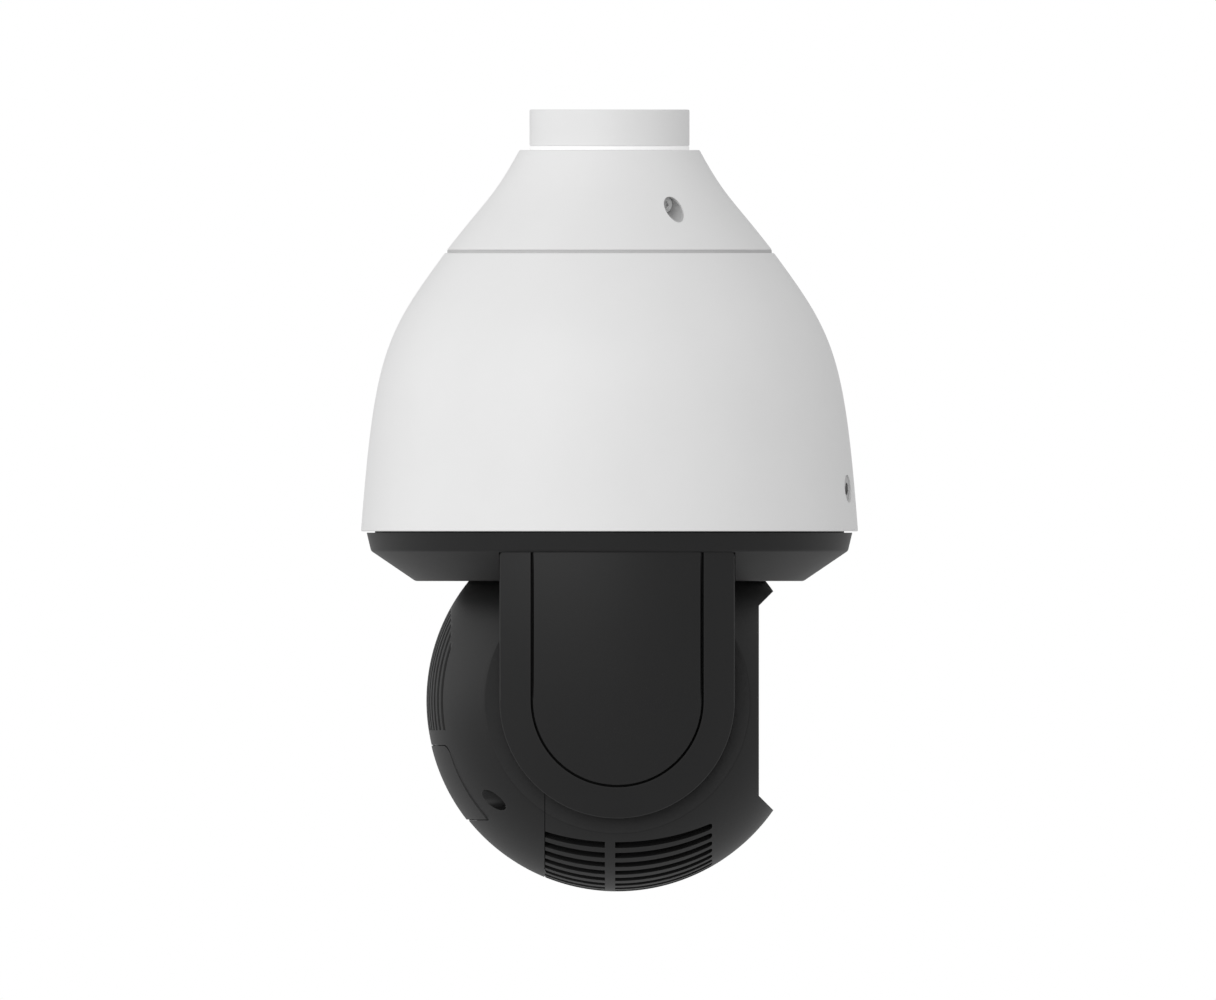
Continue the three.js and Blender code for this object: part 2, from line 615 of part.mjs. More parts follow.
/** The back half of the head, with the fins, the hatch's frame and the two screw recesses. */
function rearShell(ball, room) {
  const behind = box([-100, head.seam - GAP / 3], [-80, 80], [-100, 100]);
  const skin = cut(ball.intersect(behind), room);
  const bosses = [RIGHT, LEFT].map((side) => shellScrewRod(side, 7.5, -75, -44).intersect(ball));
  const recesses = [RIGHT, LEFT].flatMap((side) => [
    shellScrewRod(side, shellScrew.hole, -100, shellScrew.seat),
    shellScrewRod(side, 2.3, shellScrew.seat - 1, -40, 12),
  ]);
  const rebate = cut(hatchSlab(-0.4), flatBall(head.radius - 3, head.halfWidth));
  return cut(joined(skin, ...bosses), finGrooves(), ...recesses, rebate, hatchSlab(4.2));
}

/** The rear hatch, its lower edge a little proud of the ball. */
function rearHatch() {
  const outside = flatBall(head.radius, head.halfWidth).translate([0, 0, -hatch.droop]);
  return cut(hatchSlab(0).intersect(outside), flatBall(head.radius - 1.5, head.halfWidth));
}

/** The flat rubber seal under the hatch's edge. */
function hatchSeal() {
  const outside = flatBall(head.radius - 1.8, head.halfWidth);
  return cut(hatchSlab(0.4).intersect(outside), hatchSlab(4), flatBall(head.radius - 2.7, head.halfWidth));
}

/** A shell screw at the bottom of its recess. */
function shellScrewBody(side) {
  const seat = shellScrew.seat - GAP;
  const screw = joined(shellScrewRod(side, 4.2, seat - 3.6, seat), shellScrewRod(side, 1.9, seat - 1, -25, 12));
  return cut(screw, shellScrewRod(side, 2, seat - 5, seat - 1.8, 6));
}

/** The soft ring inside the joint between the two shells. */
function shellSeal() {
  const { radius, halfWidth, seam } = head;
  const outside = flatBall(radius - wall.head - GAP, halfWidth - wall.head - GAP, ROOM_SIDES);
  const inside = flatBall(radius - wall.head - 3, halfWidth - wall.head - 3, ROOM_SIDES);
  return cut(outside, inside).intersect(box([seam - 2, seam + 2], [-80, 80], [-100, 100]));
}

/** The black mask behind the window, with an opening for the lens and one for each lamp board. */
function lensMask() {
  const plate = slabX(windowShape(52, 38), 59.5, 61.5);
  const lamps = [RIGHT, LEFT].map((side) => box([50, 70], span(side, 31.5, 46.5), [-19.5, 19.5]));
  return cut(plate, ring(0, barrel.radius + 1.5, 50, 70, 'x', MEDIUM_SIDES), ...lamps);
}

/** A lamp board with its column of infra-red lamps under round lenses. */
function lampBoard(side) {
  const board = box([54, 55.6], span(side, 29, 49), [-21, 21]);
  const lenses = [];
  for (let number = 0; number < led.count; number += 1) {
    const z = led.pitch * (number - (led.count - 1) / 2);
    const lens = turned([[0, 55.5], [led.radius, 55.5], [led.radius, 58], [4, 60], [0, 60.8]], 'x', 12);
    lenses.push(lens.translate([0, side * led.y, z]));
  }
  return joined(board, ...lenses);
}

/** A hollow trunnion with a flange inside the head's side wall. */
function tiltShaft(side, far) {
  const near = head.halfWidth - wall.head - GAP;
  const flange = ring(tilt.bore, 18, ...span(side, near - 3, near), 'y', SMALL_SIDES);
  return joined(flange, ring(tilt.bore, tilt.shaft, ...span(side, near - 1, far), 'y', SMALL_SIDES));
}

/** The zoom camera's body, open at the back. */
function cameraBody() {
  const { back, front, half, inside } = block;
  const shell = box([back, front], [-half, half], [-half, half]);
  const room = box([back - 1, front - 3], [-inside, inside], [-inside, inside]);
  return cut(shell, room, ring(0, 17, -10, front + 1, 'x', SMALL_SIDES));
}

/** The lens tube, with a wider ring at its front. */
function lensBarrel() {
  const { radius, bore, back, front } = barrel;
  const slim = radius - 1.5;
  const outline = [[bore, back], [slim, back], [slim, front - 8], [radius, front - 8], [radius, front], [bore, front]];
  return turned(outline, 'x', MEDIUM_SIDES);
}

/** A round lens with a curved front, between two places on the lens axis. */
function lensElement(radius, back, front, bulge, sides = SMALL_SIDES) {
  const steps = 4;
  const outline = [[0, back], [radius, back]];
  for (let i = 0; i <= steps; i += 1) {
    const angle = (i / steps) * (Math.PI / 2);
    outline.push([radius * Math.cos(angle), front + bulge * Math.sin(angle)]);
  }
  outline[outline.length - 1][0] = 0;
  return turned(outline, 'x', sides);
}

/** The board that closes the camera body, with the image sensor on it. */
function sensorBoard() {
  return joined(box([-26, -24.3], [-25, 25], [-25, 25]), box([-24.4, -21.5], [-7, 7], [-5.5, 5.5]));
}

/** The plate that carries the camera body across the head. */
function cameraBracket() {
  const plate = box([-24, 14], [-58, 58], [-29.3, -26.3]);
  const feet = [RIGHT, LEFT].map((side) => box([-24, 14], span(side, 56, 58), [-40, -27]));
  return joined(plate, ...feet);
}

/** The fan's square frame, with bars below the rotor. */
function fanFrame() {
  const { half, bore, top, bottom } = fan;
  const frame = cut(box([-half, half], [-half, half], [bottom, top]), ring(0, bore, -60, -30, 'z', SMALL_SIDES));
  const bars = [box([-19, 19], [-1.5, 1.5], [bottom, bottom + 1.5]), box([-1.5, 1.5], [-19, 19], [bottom, bottom + 1.5])];
  return joined(frame, ...bars);
}

/** The fan's hub and blades. */
function fanRotor() {
  const hub = ring(0, 8, fan.bottom + 2, fan.top - 1, 'z', SMALL_SIDES);
  const blades = [];
  for (let number = 0; number < fan.blades; number += 1) {
    const blade = new THREE.BoxGeometry(10, 1.2, 7.5);
    blade.rotateX(radians(35)).translate(12, 0, (fan.top + fan.bottom) / 2 + 0.6);
    blades.push(solid(blade.rotateZ((number / fan.blades) * 2 * Math.PI)));
  }
  return joined(hub, ...blades);
}

/** Adds every piece of the housing that stays still. */
function addHousing() {
  add('mounting_collar', mountingCollar(), white);
  add('collar_gasket', ring(gasket.inner, gasket.outer, gasket.top, gasket.bottom), paleRubber);
  add('cone_cover', coneCover(), white);
  add('cone_screw_front', coneCoverScrew(0), steel);
  add('cone_screw_rear', coneCoverScrew(180), steel);
  add('cone_seal', ring(68, 78.2, -68.2, -69.1), rubber);
  add('bell_housing', bellHousing(), white);
  add('bell_screw_front', bellRimScrew(0), steel);
  add('bell_screw_rear', bellRimScrew(180), steel);
  add('chassis_plate', chassisPlate(), aluminium);
  for (const number of [0, 1, 2]) {
    const under = bell.top[1] - wall.lid - GAP;
    add(`chassis_post_${number + 1}`, post(number, chassis.postThick, under, chassis.top + GAP), steel);
  }
  add('slip_ring_bracket', slipRingBracket(), aluminium);
  add('slip_ring_stator', slipRingStator(), plastic);
  add('main_board', mainBoard(), circuit);
  add('network_socket', networkSocket(), steel);
  add('power_terminal', powerTerminal(), plastic);
  add('pan_motor', panMotor(), plastic);
  add('pan_belt', panBelt(), rubber);
  add('pan_bearing', ring(pan.shaft + 0.2, bearing.outer + 3, -180, -172, 'z', MEDIUM_SIDES), steel);
}

/** Adds everything that turns about the pan axis but doesn't tilt, and the pan drive's turning pieces. */
function addYoke() {
  const drive = motorPulley(pan.motorPulley, 13, -138, -128, -150, 'z');
  add('pan_motor_pulley', drive.translate([pan.motorX, 0, 0]), steel);
  add('pan_base', panBase(), black);
  add('pan_shaft', panShaft(), steel);
  add('pan_pulley', pulley(pan.shaft + GAP, pan.pulley, -138, -128, 48, 'z', MEDIUM_SIDES), plastic);
  add('slip_ring_rotor', slipRingRotor(), steel);
  for (const [word, side] of [['right', RIGHT], ['left', LEFT]]) {
    add(`${word}_arm`, yokeArm(side), black);
    add(`${word}_arm_cover`, yokeArmCover(side), black);
    const race = ring(bearing.inner, bearing.outer, ...span(side, bearing.near, bearing.far), 'y', MEDIUM_SIDES);
    add(`${word}_tilt_bearing`, race, steel, tiltCentre);
  }
  add('tilt_motor', tiltMotor(), plastic);
  add('tilt_belt', tiltBelt(), rubber);
  add('tilt_motor_pulley', tiltMotorPulley(), steel);
}

/** Adds the pieces of the head. */
function addHead() {
  const ball = flatBall(head.radius, head.halfWidth);
  const room = headRoom();
  const pieces = [
    ['front_shell', frontShell(ball, room), black],
    ['rear_shell', rearShell(ball, room), black],
    ['shell_seal', shellSeal(), rubber],
    ['rear_hatch', rearHatch(), black],
    ['hatch_seal', hatchSeal(), rubber],
    ['right_shell_screw', shellScrewBody(RIGHT), steel],
    ['left_shell_screw', shellScrewBody(LEFT), steel],
    ['front_window', slabX(windowShape(glass.radius, glass.halfHeight), glass.back, glass.front), clear],
    ['window_gasket', windowGasket(), rubber],
    ['lens_mask', lensMask(), plastic],
    ['right_tilt_shaft', tiltShaft(RIGHT, 94), steel],
    ['left_tilt_shaft', tiltShaft(LEFT, 80), steel],
    ['tilt_pulley', pulley(tilt.shaft + GAP, tilt.pulley, -93, -87, 26.5, 'y', MEDIUM_SIDES), plastic],
    ['camera_body', cameraBody(), plastic],
    ['lens_barrel', lensBarrel(), plastic],
    ['front_lens', lensElement(22.6, 50, 53, 3), clear],
    ['zoom_group', lensElement(22.6, 15, 22, 2), clear],
    ['focus_group', lensElement(15, -8, -3, 1.5), clear],
    ['ir_cut_filter', box([-18, -16.5], [-20, 8], [-8, 8]), clear],
    ['sensor_board', sensorBoard(), circuit],
    ['camera_bracket', cameraBracket(), aluminium],
    ['right_lamp_board', lampBoard(RIGHT), circuit],
    ['left_lamp_board', lampBoard(LEFT), circuit],
    ['fan_frame', fanFrame(), plastic],
    ['fan_rotor', fanRotor(), plastic],
  ];
  for (const [name, body, material] of pieces) add(name, body, material, tiltCentre);
}

/** The gasket behind the edge of the window. */
function windowGasket() {
  const { radius, halfHeight, back, lip } = glass;
  const outside = slabX(windowShape(radius, halfHeight), back - 1, back - 0.2);
  return cut(outside, slabX(windowShape(radius - lip + 1, halfHeight - lip + 1), 50, 70));
}

addHousing();
addYoke();
addHead();

export default camera;
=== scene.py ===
"""The looks of a pendant pan, tilt and zoom camera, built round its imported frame.

Each sub-assembly is a class that holds its sizes in millimetres, shapes its pieces and dresses them. The
frame is in metres: a piece is shaped in millimetres and scaled once, when it is finished. +X is the way the
lens looks at rest, Z is the pan axis and Y is the direction of the tilt axis.
"""

import json
import logging
import math
from dataclasses import dataclass
from enum import Enum
from typing import Callable, Iterable, Sequence

import bmesh
import bpy
from mathutils import Matrix, Vector
from mathutils.geometry import interpolate_bezier


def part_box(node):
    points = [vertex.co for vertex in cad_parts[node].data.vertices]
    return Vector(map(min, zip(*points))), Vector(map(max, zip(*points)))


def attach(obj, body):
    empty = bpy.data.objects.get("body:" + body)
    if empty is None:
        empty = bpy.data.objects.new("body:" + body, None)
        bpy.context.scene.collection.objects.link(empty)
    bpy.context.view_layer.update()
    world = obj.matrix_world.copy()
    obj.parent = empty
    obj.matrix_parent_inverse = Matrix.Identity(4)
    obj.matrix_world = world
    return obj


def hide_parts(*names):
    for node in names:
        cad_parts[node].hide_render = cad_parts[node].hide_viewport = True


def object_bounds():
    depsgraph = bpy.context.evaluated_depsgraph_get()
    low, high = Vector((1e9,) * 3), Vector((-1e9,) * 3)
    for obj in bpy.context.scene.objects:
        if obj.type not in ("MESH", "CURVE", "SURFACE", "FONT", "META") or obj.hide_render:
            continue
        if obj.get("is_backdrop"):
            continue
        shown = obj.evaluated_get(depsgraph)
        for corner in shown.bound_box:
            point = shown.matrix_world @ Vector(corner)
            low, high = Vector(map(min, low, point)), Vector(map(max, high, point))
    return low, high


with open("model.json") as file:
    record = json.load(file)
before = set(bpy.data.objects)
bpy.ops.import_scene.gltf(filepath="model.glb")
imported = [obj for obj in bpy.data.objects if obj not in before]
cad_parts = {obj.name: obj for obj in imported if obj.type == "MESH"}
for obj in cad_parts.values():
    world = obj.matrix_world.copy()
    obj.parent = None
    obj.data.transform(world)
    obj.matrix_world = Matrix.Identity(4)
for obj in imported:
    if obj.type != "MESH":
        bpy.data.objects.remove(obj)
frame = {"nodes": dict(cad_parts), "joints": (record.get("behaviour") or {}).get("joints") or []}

logging.basicConfig(level=logging.INFO, format="%(message)s")
log = logging.getLogger("pendant_camera")

MILLIMETRE = 0.001
FINE = 192  # steps round the large mouldings
MIDDLING = 128  # steps round the collar
MEDIUM = 96  # steps round bores and the lens
BORE = 64  # steps round screw holes
HEAD = 48  # steps round screw heads
SMALL = 32  # steps round screws
SMOOTH_BALL = (256, 56)  # steps round a ball that shows and from flat to flat
HIDDEN_BALL = (128, 24)  # the same for one that doesn't
SEALED_BALL = (128, 32)  # the same for one that shapes a seal
GAP = 0.3  # between separate pieces that lie against each other
HAIR = 0.02  # between a seal and what it seals
SHARP = 25.0  # degrees between two faces, above which their edge can be rounded
SMOOTH = 32.0  # degrees between two faces, below which they look like one surface

Corner = tuple[float, float]
Span = tuple[float, float]
Colour = tuple[float, float, float]


class Axis(Enum):
    """The directions of the frame."""

    X = Vector((1, 0, 0))
    Y = Vector((0, 1, 0))
    Z = Vector((0, 0, 1))


class Side(Enum):
    """The camera's own right and left."""

    RIGHT = -1
    LEFT = 1

    @property
    def word(self) -> str:
        """The word that this side's pieces start with."""
        return self.name.lower()

    def span(self, near: float, far: float) -> Span:
        """The two limits along Y, lower first, of what lies between near and far on this side."""
        return (near, far) if self is Side.LEFT else (-far, -near)


class Body(Enum):
    """The frame's bodies that new pieces ride on."""

    HOUSING = "housing"
    YOKE = "yoke"
    HEAD = "head"
    ZOOM = "zoom_carriage"


class Slot(Enum):
    """The record's finishes."""

    WHITE_PAINT = "white_paint"
    BLACK_PAINT = "black_paint"
    PALE_RUBBER = "pale_rubber"
    SEAL_RUBBER = "seal_rubber"
    CAST_ALUMINIUM = "cast_aluminium"
    STEEL = "steel"
    CIRCUIT_BOARD = "circuit_board"
    BLACK_PLASTIC = "black_plastic"
    WINDOW_GLASS = "window_glass"
    LENS_GLASS = "lens_glass"


def corners_of(node: str) -> tuple[Vector, Vector]:
    """A frame node's lowest and highest corners, in millimetres.

    Args:
        node: the name of the node.

    Returns:
        The two corners.
    """
    low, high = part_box(node)
    return low / MILLIMETRE, high / MILLIMETRE


def pivot_of(joint: str) -> Vector:
    """A point on a joint's axis, in millimetres.

    Args:
        joint: the name of the joint.

    Returns:
        The point that the frame gives for it.
    """
    found = next(entry for entry in frame["joints"] if entry["name"] == joint)
    return Vector(found["pos_m"]) / MILLIMETRE


# ---------------------------------------------------------------------------------------------------------
# Shaping
# ---------------------------------------------------------------------------------------------------------


class Outline:
    """A flat closed outline, drawn across and up, in millimetres."""

    def __init__(self, corners: Sequence[Corner] = ()) -> None:
        """Starts from the corners, in order round the outline, or from nothing."""
        self.mesh = bmesh.new()
        if corners:
            self.mesh.faces.new([self.mesh.verts.new((across, up, 0)) for across, up in corners])

    @classmethod
    def rounded(cls, across: Span, up: Span, radii: Sequence[float], segments: int = 10) -> "Outline":
        """A rectangle with rounded corners.

        Args:
            across: its two sides.
            up: its bottom and top.
            radii: one radius for each corner, from the lower left one, anticlockwise.
            segments: the straight steps in each rounded corner.

        Returns:
            The outline.
        """
        outline = cls([(across[0], up[0]), (across[1], up[0]), (across[1], up[1]), (across[0], up[1])])
        mesh = outline.mesh
        for corner, radius in zip(list(mesh.verts), radii):
            if radius > 0:
                bmesh.ops.bevel(
                    mesh, geom=[corner], offset=radius, segments=segments, profile=0.5,
                    affect="VERTICES", material=-1, clamp_overlap=False,
                )
        bmesh.ops.remove_doubles(mesh, verts=mesh.verts, dist=1e-3)
        return outline

    @classmethod
    def flat_sided_disc(cls, radius: float, half_height: float) -> "Outline":
        """A circle cut level above and below.

        Args:
            radius: the circle's radius.
            half_height: how far up and down it reaches.

        Returns:
            The outline.
        """
        outline = cls()
        mesh = outline.mesh
        bmesh.ops.create_circle(mesh, cap_ends=True, radius=radius, segments=MEDIUM)
        for way in (1, -1):
            bmesh.ops.bisect_plane(
                mesh, geom=mesh.verts[:] + mesh.edges[:] + mesh.faces[:], dist=1e-4,
                plane_co=(0, way * half_height, 0), plane_no=(0, way, 0), clear_outer=True,
            )
        return outline


class Solid:
    """A closed surface that is being shaped, in millimetres."""

    def __init__(self) -> None:
        """Starts with nothing in it."""
        self.mesh = bmesh.new()

    # ---- Where a shape starts ----

    @classmethod
    def turned(cls, outline: Sequence[Corner], axis: Axis = Axis.Z, steps: int = FINE) -> "Solid":
        """A solid of revolution.

        Args:
            outline: (radius, height) corners. The outline closes itself unless it starts on the axis.
            axis: the direction of the axis, through the origin.
            steps: the steps round.

        Returns:
            The solid.
        """
        shape = cls()
        mesh = shape.mesh
        verts = [mesh.verts.new((radius, 0, height)) for radius, height in outline]
        ends = verts if outline[0][0] == 0 else verts + verts[:1]
        edges = [mesh.edges.new(pair) for pair in zip(ends, ends[1:])]
        bmesh.ops.spin(
            mesh, geom=verts + edges, cent=(0, 0, 0), axis=(0, 0, 1), angle=2 * math.pi,
            steps=steps, use_merge=True,
        )
        bmesh.ops.remove_doubles(mesh, verts=mesh.verts, dist=1e-4)
        bmesh.ops.dissolve_degenerate(mesh, edges=mesh.edges, dist=1e-5)
        shape.turn_from_z(axis)
        return shape.facing_out()

    @classmethod
    def ring(
        cls, inner: float, outer: float, along: Span, axis: Axis = Axis.Z, steps: int = MEDIUM
    ) -> "Solid":
        """A plain ring, or a disc where inner is 0.

        Args:
            inner: the bore's radius.
            outer: the outer radius.
            along: its two ends on the axis.
            axis: the direction of the axis.
            steps: the steps round.

        Returns:
            The solid.
        """
        low, high = along
        return cls.turned([(inner, low), (outer, low), (outer, high), (inner, high)], axis, steps)

    @classmethod
    def block(cls, across: Span, deep: Span, up: Span) -> "Solid":
        """A rectangular block between two limits on each axis."""
        shape = cls()
        bmesh.ops.create_cube(shape.mesh, size=1)
        limits = (across, deep, up)
        sizes = Vector([high - low for low, high in limits])
        middle = Vector([(high + low) / 2 for low, high in limits])
        bmesh.ops.scale(shape.mesh, vec=sizes, verts=shape.mesh.verts)
        return shape.moved(middle)

    @classmethod
    def rod(cls, radius: float, start: Vector, end: Vector, steps: int = SMALL) -> "Solid":
        """A round rod between two points.

        Args:
            radius: its radius.
            start: the middle of one end.
            end: the middle of the other.
            steps: the steps round.

        Returns:
            The solid.
        """
        shape = cls()
        way = Vector(end) - Vector(start)
        bmesh.ops.create_cone(
            shape.mesh, cap_ends=True, segments=steps, radius1=radius, radius2=radius, depth=way.length
        )
        turn = Axis.Z.value.rotation_difference(way.normalized()).to_matrix()
        bmesh.ops.rotate(shape.mesh, cent=(0, 0, 0), matrix=turn, verts=shape.mesh.verts)
        return shape.moved((Vector(start) + Vector(end)) / 2)

    @classmethod
    def slab(cls, outline: Outline, facing: Axis, along: Span) -> "Solid":
        """An outline made solid along an axis.

        Args:
            outline: drawn across and up: x and z for a slab along Y, y and z for one along X, x and y for Z.
            facing: the axis that it is thick along.
            along: its two faces on that axis.

        Returns:
            The solid.
        """
        shape = cls()
        shape.mesh = outline.mesh.copy()
        mesh = shape.mesh
        grown = bmesh.ops.extrude_face_region(mesh, geom=mesh.faces[:])["geom"]
        far = [item for item in grown if isinstance(item, bmesh.types.BMVert)]
        bmesh.ops.translate(mesh, vec=(0, 0, along[1] - along[0]), verts=far)
        bmesh.ops.translate(mesh, vec=(0, 0, along[0]), verts=mesh.verts)
        places = {
            Axis.X: Matrix(((0, 0, 1, 0), (1, 0, 0, 0), (0, 1, 0, 0), (0, 0, 0, 1))),
            Axis.Y: Matrix(((1, 0, 0, 0), (0, 0, 1, 0), (0, 1, 0, 0), (0, 0, 0, 1))),
            Axis.Z: Matrix.Identity(4),
        }
        bmesh.ops.transform(mesh, matrix=places[facing], verts=mesh.verts)
        return shape.facing_out()

    @classmethod
    def panel(
        cls,
        outline: Outline,
        outer: Callable[[float, float], float],
        inner: Callable[[float, float], float],
        fillet: float = 0,
        cell: float = 3.0,
    ) -> "Solid":
        """A panel in x and z between two curved surfaces that give y, with a rounded outer edge.

        Args:
            outline: its shape in x and z. It bulges outwards everywhere.
            outer: the outer surface's y for an x and z.
            inner: the inner surface's y for an x and z.
            fillet: the radius of its outer edge.
            cell: the size of the grid that lets both faces bend.

        Returns:
            The solid.
        """
        shape = cls.slab(outline, Axis.Y, (0, 1))
        mesh = shape.mesh
        drop = mesh.verts.layers.float.new("drop")
        outside = mesh.verts.layers.int.new("outside")
        for vert in mesh.verts:
            vert[outside] = 1 if vert.co.y > 0.5 else 0
        across = [vert.co.x for vert in mesh.verts]
        up = [vert.co.z for vert in mesh.verts]
        for is_outside in (1, 0):
            cap = next(
                face for face in mesh.faces
                if abs(face.normal.y) > 0.9 and face.verts[0][outside] == is_outside
            )
            if is_outside and fillet > 0:
                steps = 4
                for vert in cap.verts:
                    vert[drop] = fillet
                for step in range(1, steps + 1):
                    angles = [0.5 * math.pi * (step - 1) / steps, 0.5 * math.pi * step / steps]
                    inset = fillet * (math.cos(angles[0]) - math.cos(angles[1]))
                    bmesh.ops.inset_region(mesh, faces=[cap], thickness=inset, use_even_offset=True)
                    for vert in cap.verts:
                        vert[drop] = fillet * (1 - math.sin(angles[1]))
                        vert[outside] = 1
            geometry = [cap, *cap.edges, *cap.verts]
            for normal, (low, high) in (
                ((1, 0, 0), (min(across), max(across))),
                ((0, 0, 1), (min(up), max(up))),
            ):
                count = int((high - low) / cell)
                for number in range(1, count):
                    place = low + (high - low) * number / count
                    geometry = bmesh.ops.bisect_plane(
                        mesh, geom=geometry, dist=1e-3, plane_co=Vector(normal) * place, plane_no=normal
                    )["geom"]
            for item in geometry:
                if isinstance(item, bmesh.types.BMVert):
                    item[outside] = is_outside
        for vert in mesh.verts:
            x, _, z = vert.co
            vert.co.y = outer(x, z) - vert[drop] if vert[outside] else inner(x, z)
        return shape.facing_out()

    # ---- How it is changed ----

    def turn_from_z(self, axis: Axis) -> None:
        """Turns a shape made about Z so that it lies about another axis."""
        turn = Axis.Z.value.rotation_difference(axis.value).to_matrix()
        bmesh.ops.rotate(self.mesh, cent=(0, 0, 0), matrix=turn, verts=self.mesh.verts)

    def facing_out(self) -> "Solid":
        """Makes every face point outwards."""
        bmesh.ops.recalc_face_normals(self.mesh, faces=self.mesh.faces)
        return self

    def copy(self) -> "Solid":
        """A second solid of the same shape."""
        twin = Solid()
        twin.mesh = self.mesh.copy()
        return twin

    def moved(self, by: Iterable[float]) -> "Solid":
        """Moves the solid."""
        bmesh.ops.translate(self.mesh, vec=Vector(by), verts=self.mesh.verts)
        return self

    def rotated(self, degrees: float, axis: Axis) -> "Solid":
        """Turns the solid about an axis through the origin."""
        turn = Matrix.Rotation(math.radians(degrees), 3, axis.value)
        bmesh.ops.rotate(self.mesh, cent=(0, 0, 0), matrix=turn, verts=self.mesh.verts)
        return self

    def on_side(self, side: Side) -> "Solid":
        """Mirrors a shape made for the left onto the right, or leaves it."""
        if side is Side.RIGHT:
            bmesh.ops.scale(self.mesh, vec=(1, -1, 1), verts=self.mesh.verts)
            bmesh.ops.reverse_faces(self.mesh, faces=self.mesh.faces)
        return self

    def with_loose(self, *others: "Solid") -> "Solid":
        """Adds solids that don't touch this one, with nothing joined."""
        for other in others:
            scratch = bpy.data.meshes.new("scratch")
            other.mesh.to_mesh(scratch)
            self.mesh.from_mesh(scratch)
            bpy.data.meshes.remove(scratch)
        return self

    def softened(
        self,
        offset: float,
        segments: int = 2,
        where: Callable[[Vector], bool] = lambda middle: True,
    ) -> "Solid":
        """Rounds sharp edges.

        Args:
            offset: how far the rounding reaches from the edge.
            segments: the steps across it.
            where: which edges are rounded, by the middle of each.

        Returns:
            This solid.
        """
        least = math.radians(SHARP)
        edges = [
            edge for edge in self.mesh.edges
            if len(edge.link_faces) == 2
            and edge.calc_face_angle() > least
            and where((edge.verts[0].co + edge.verts[1].co) / 2)
        ]
        bmesh.ops.bevel(
            self.mesh, geom=edges, offset=offset, segments=segments, profile=0.5,
            affect="EDGES", material=-1, clamp_overlap=True,
        )
        bmesh.ops.remove_doubles(self.mesh, verts=self.mesh.verts, dist=1e-4)
        return self

    def _combined(self, operation: str, others: Sequence["Solid"]) -> "Solid":
        """Joins, cuts or keeps with other solids, one after another.

        Args:
            operation: the Boolean modifier's word for it.
            others: the other solids.

        Returns:
            This solid.
        """
        for other in others:
            made = []
            for solid in (self, other):
                scratch = bpy.data.meshes.new("scratch")
                solid.mesh.to_mesh(scratch)
                made.append(bpy.data.objects.new("scratch", scratch))
                bpy.context.scene.collection.objects.link(made[-1])
            body, tool = made
            modifier = body.modifiers.new("combine", "BOOLEAN")
            modifier.operation = operation
            modifier.object = tool
            modifier.solver = "MANIFOLD"
            evaluated = body.evaluated_get(bpy.context.evaluated_depsgraph_get())
            result = evaluated.to_mesh()
            if not result.polygons:
                log.warning("a %s gave nothing", operation)
            self.mesh.clear()
            self.mesh.from_mesh(result)
            evaluated.to_mesh_clear()
            for scratch_object in made:
                data = scratch_object.data
                bpy.data.objects.remove(scratch_object)
                bpy.data.meshes.remove(data)
        return self

    def cut(self, *tools: "Solid") -> "Solid":
        """Takes other solids away."""
        return self._combined("DIFFERENCE", tools)

    def joined(self, *others: "Solid") -> "Solid":
        """Makes this solid and others one."""
        return self._combined("UNION", others)

    def kept(self, *others: "Solid") -> "Solid":
        """Keeps what this solid shares with others."""
        return self._combined("INTERSECT", others)

    # ---- How it is finished ----

    def finish(
        self,
        name: str,
        finish: "Finish",
        body: Body,
        stands_for: Sequence[str] = (),
    ) -> bpy.types.Object:
        """Makes the solid a piece of the camera.

        Args:
            name: the piece's name.
            finish: what it is made of.
            body: the frame body that carries it.
            stands_for: the frame nodes that it replaces.

        Returns:
            The piece.
        """
        bmesh.ops.remove_doubles(self.mesh, verts=self.mesh.verts, dist=2e-3)
        bmesh.ops.dissolve_degenerate(self.mesh, edges=self.mesh.edges, dist=1e-3)
        bmesh.ops.scale(self.mesh, vec=(MILLIMETRE,) * 3, verts=self.mesh.verts)
        data = bpy.data.meshes.new(name)
        self.mesh.to_mesh(data)
        for layer in ("drop", "outside"):
            if layer in data.attributes:
                data.attributes.remove(data.attributes[layer])
        data.shade_smooth()
        data.set_sharp_from_angle(angle=math.radians(SMOOTH))
        piece = bpy.data.objects.new(name, data)
        bpy.context.scene.collection.objects.link(piece)
        weighted = piece.modifiers.new("even_shading", "WEIGHTED_NORMAL")
        weighted.keep_sharp = True
        weighted.weight = 60
        data.materials.append(finish.material())
        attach(piece, body.value)
        if stands_for:
            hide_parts(*stands_for)
        log.info("%s: %d faces, rides %s", name, len(data.polygons), body.value)
        return piece


# ---------------------------------------------------------------------------------------------------------
# Finishes
# ---------------------------------------------------------------------------------------------------------


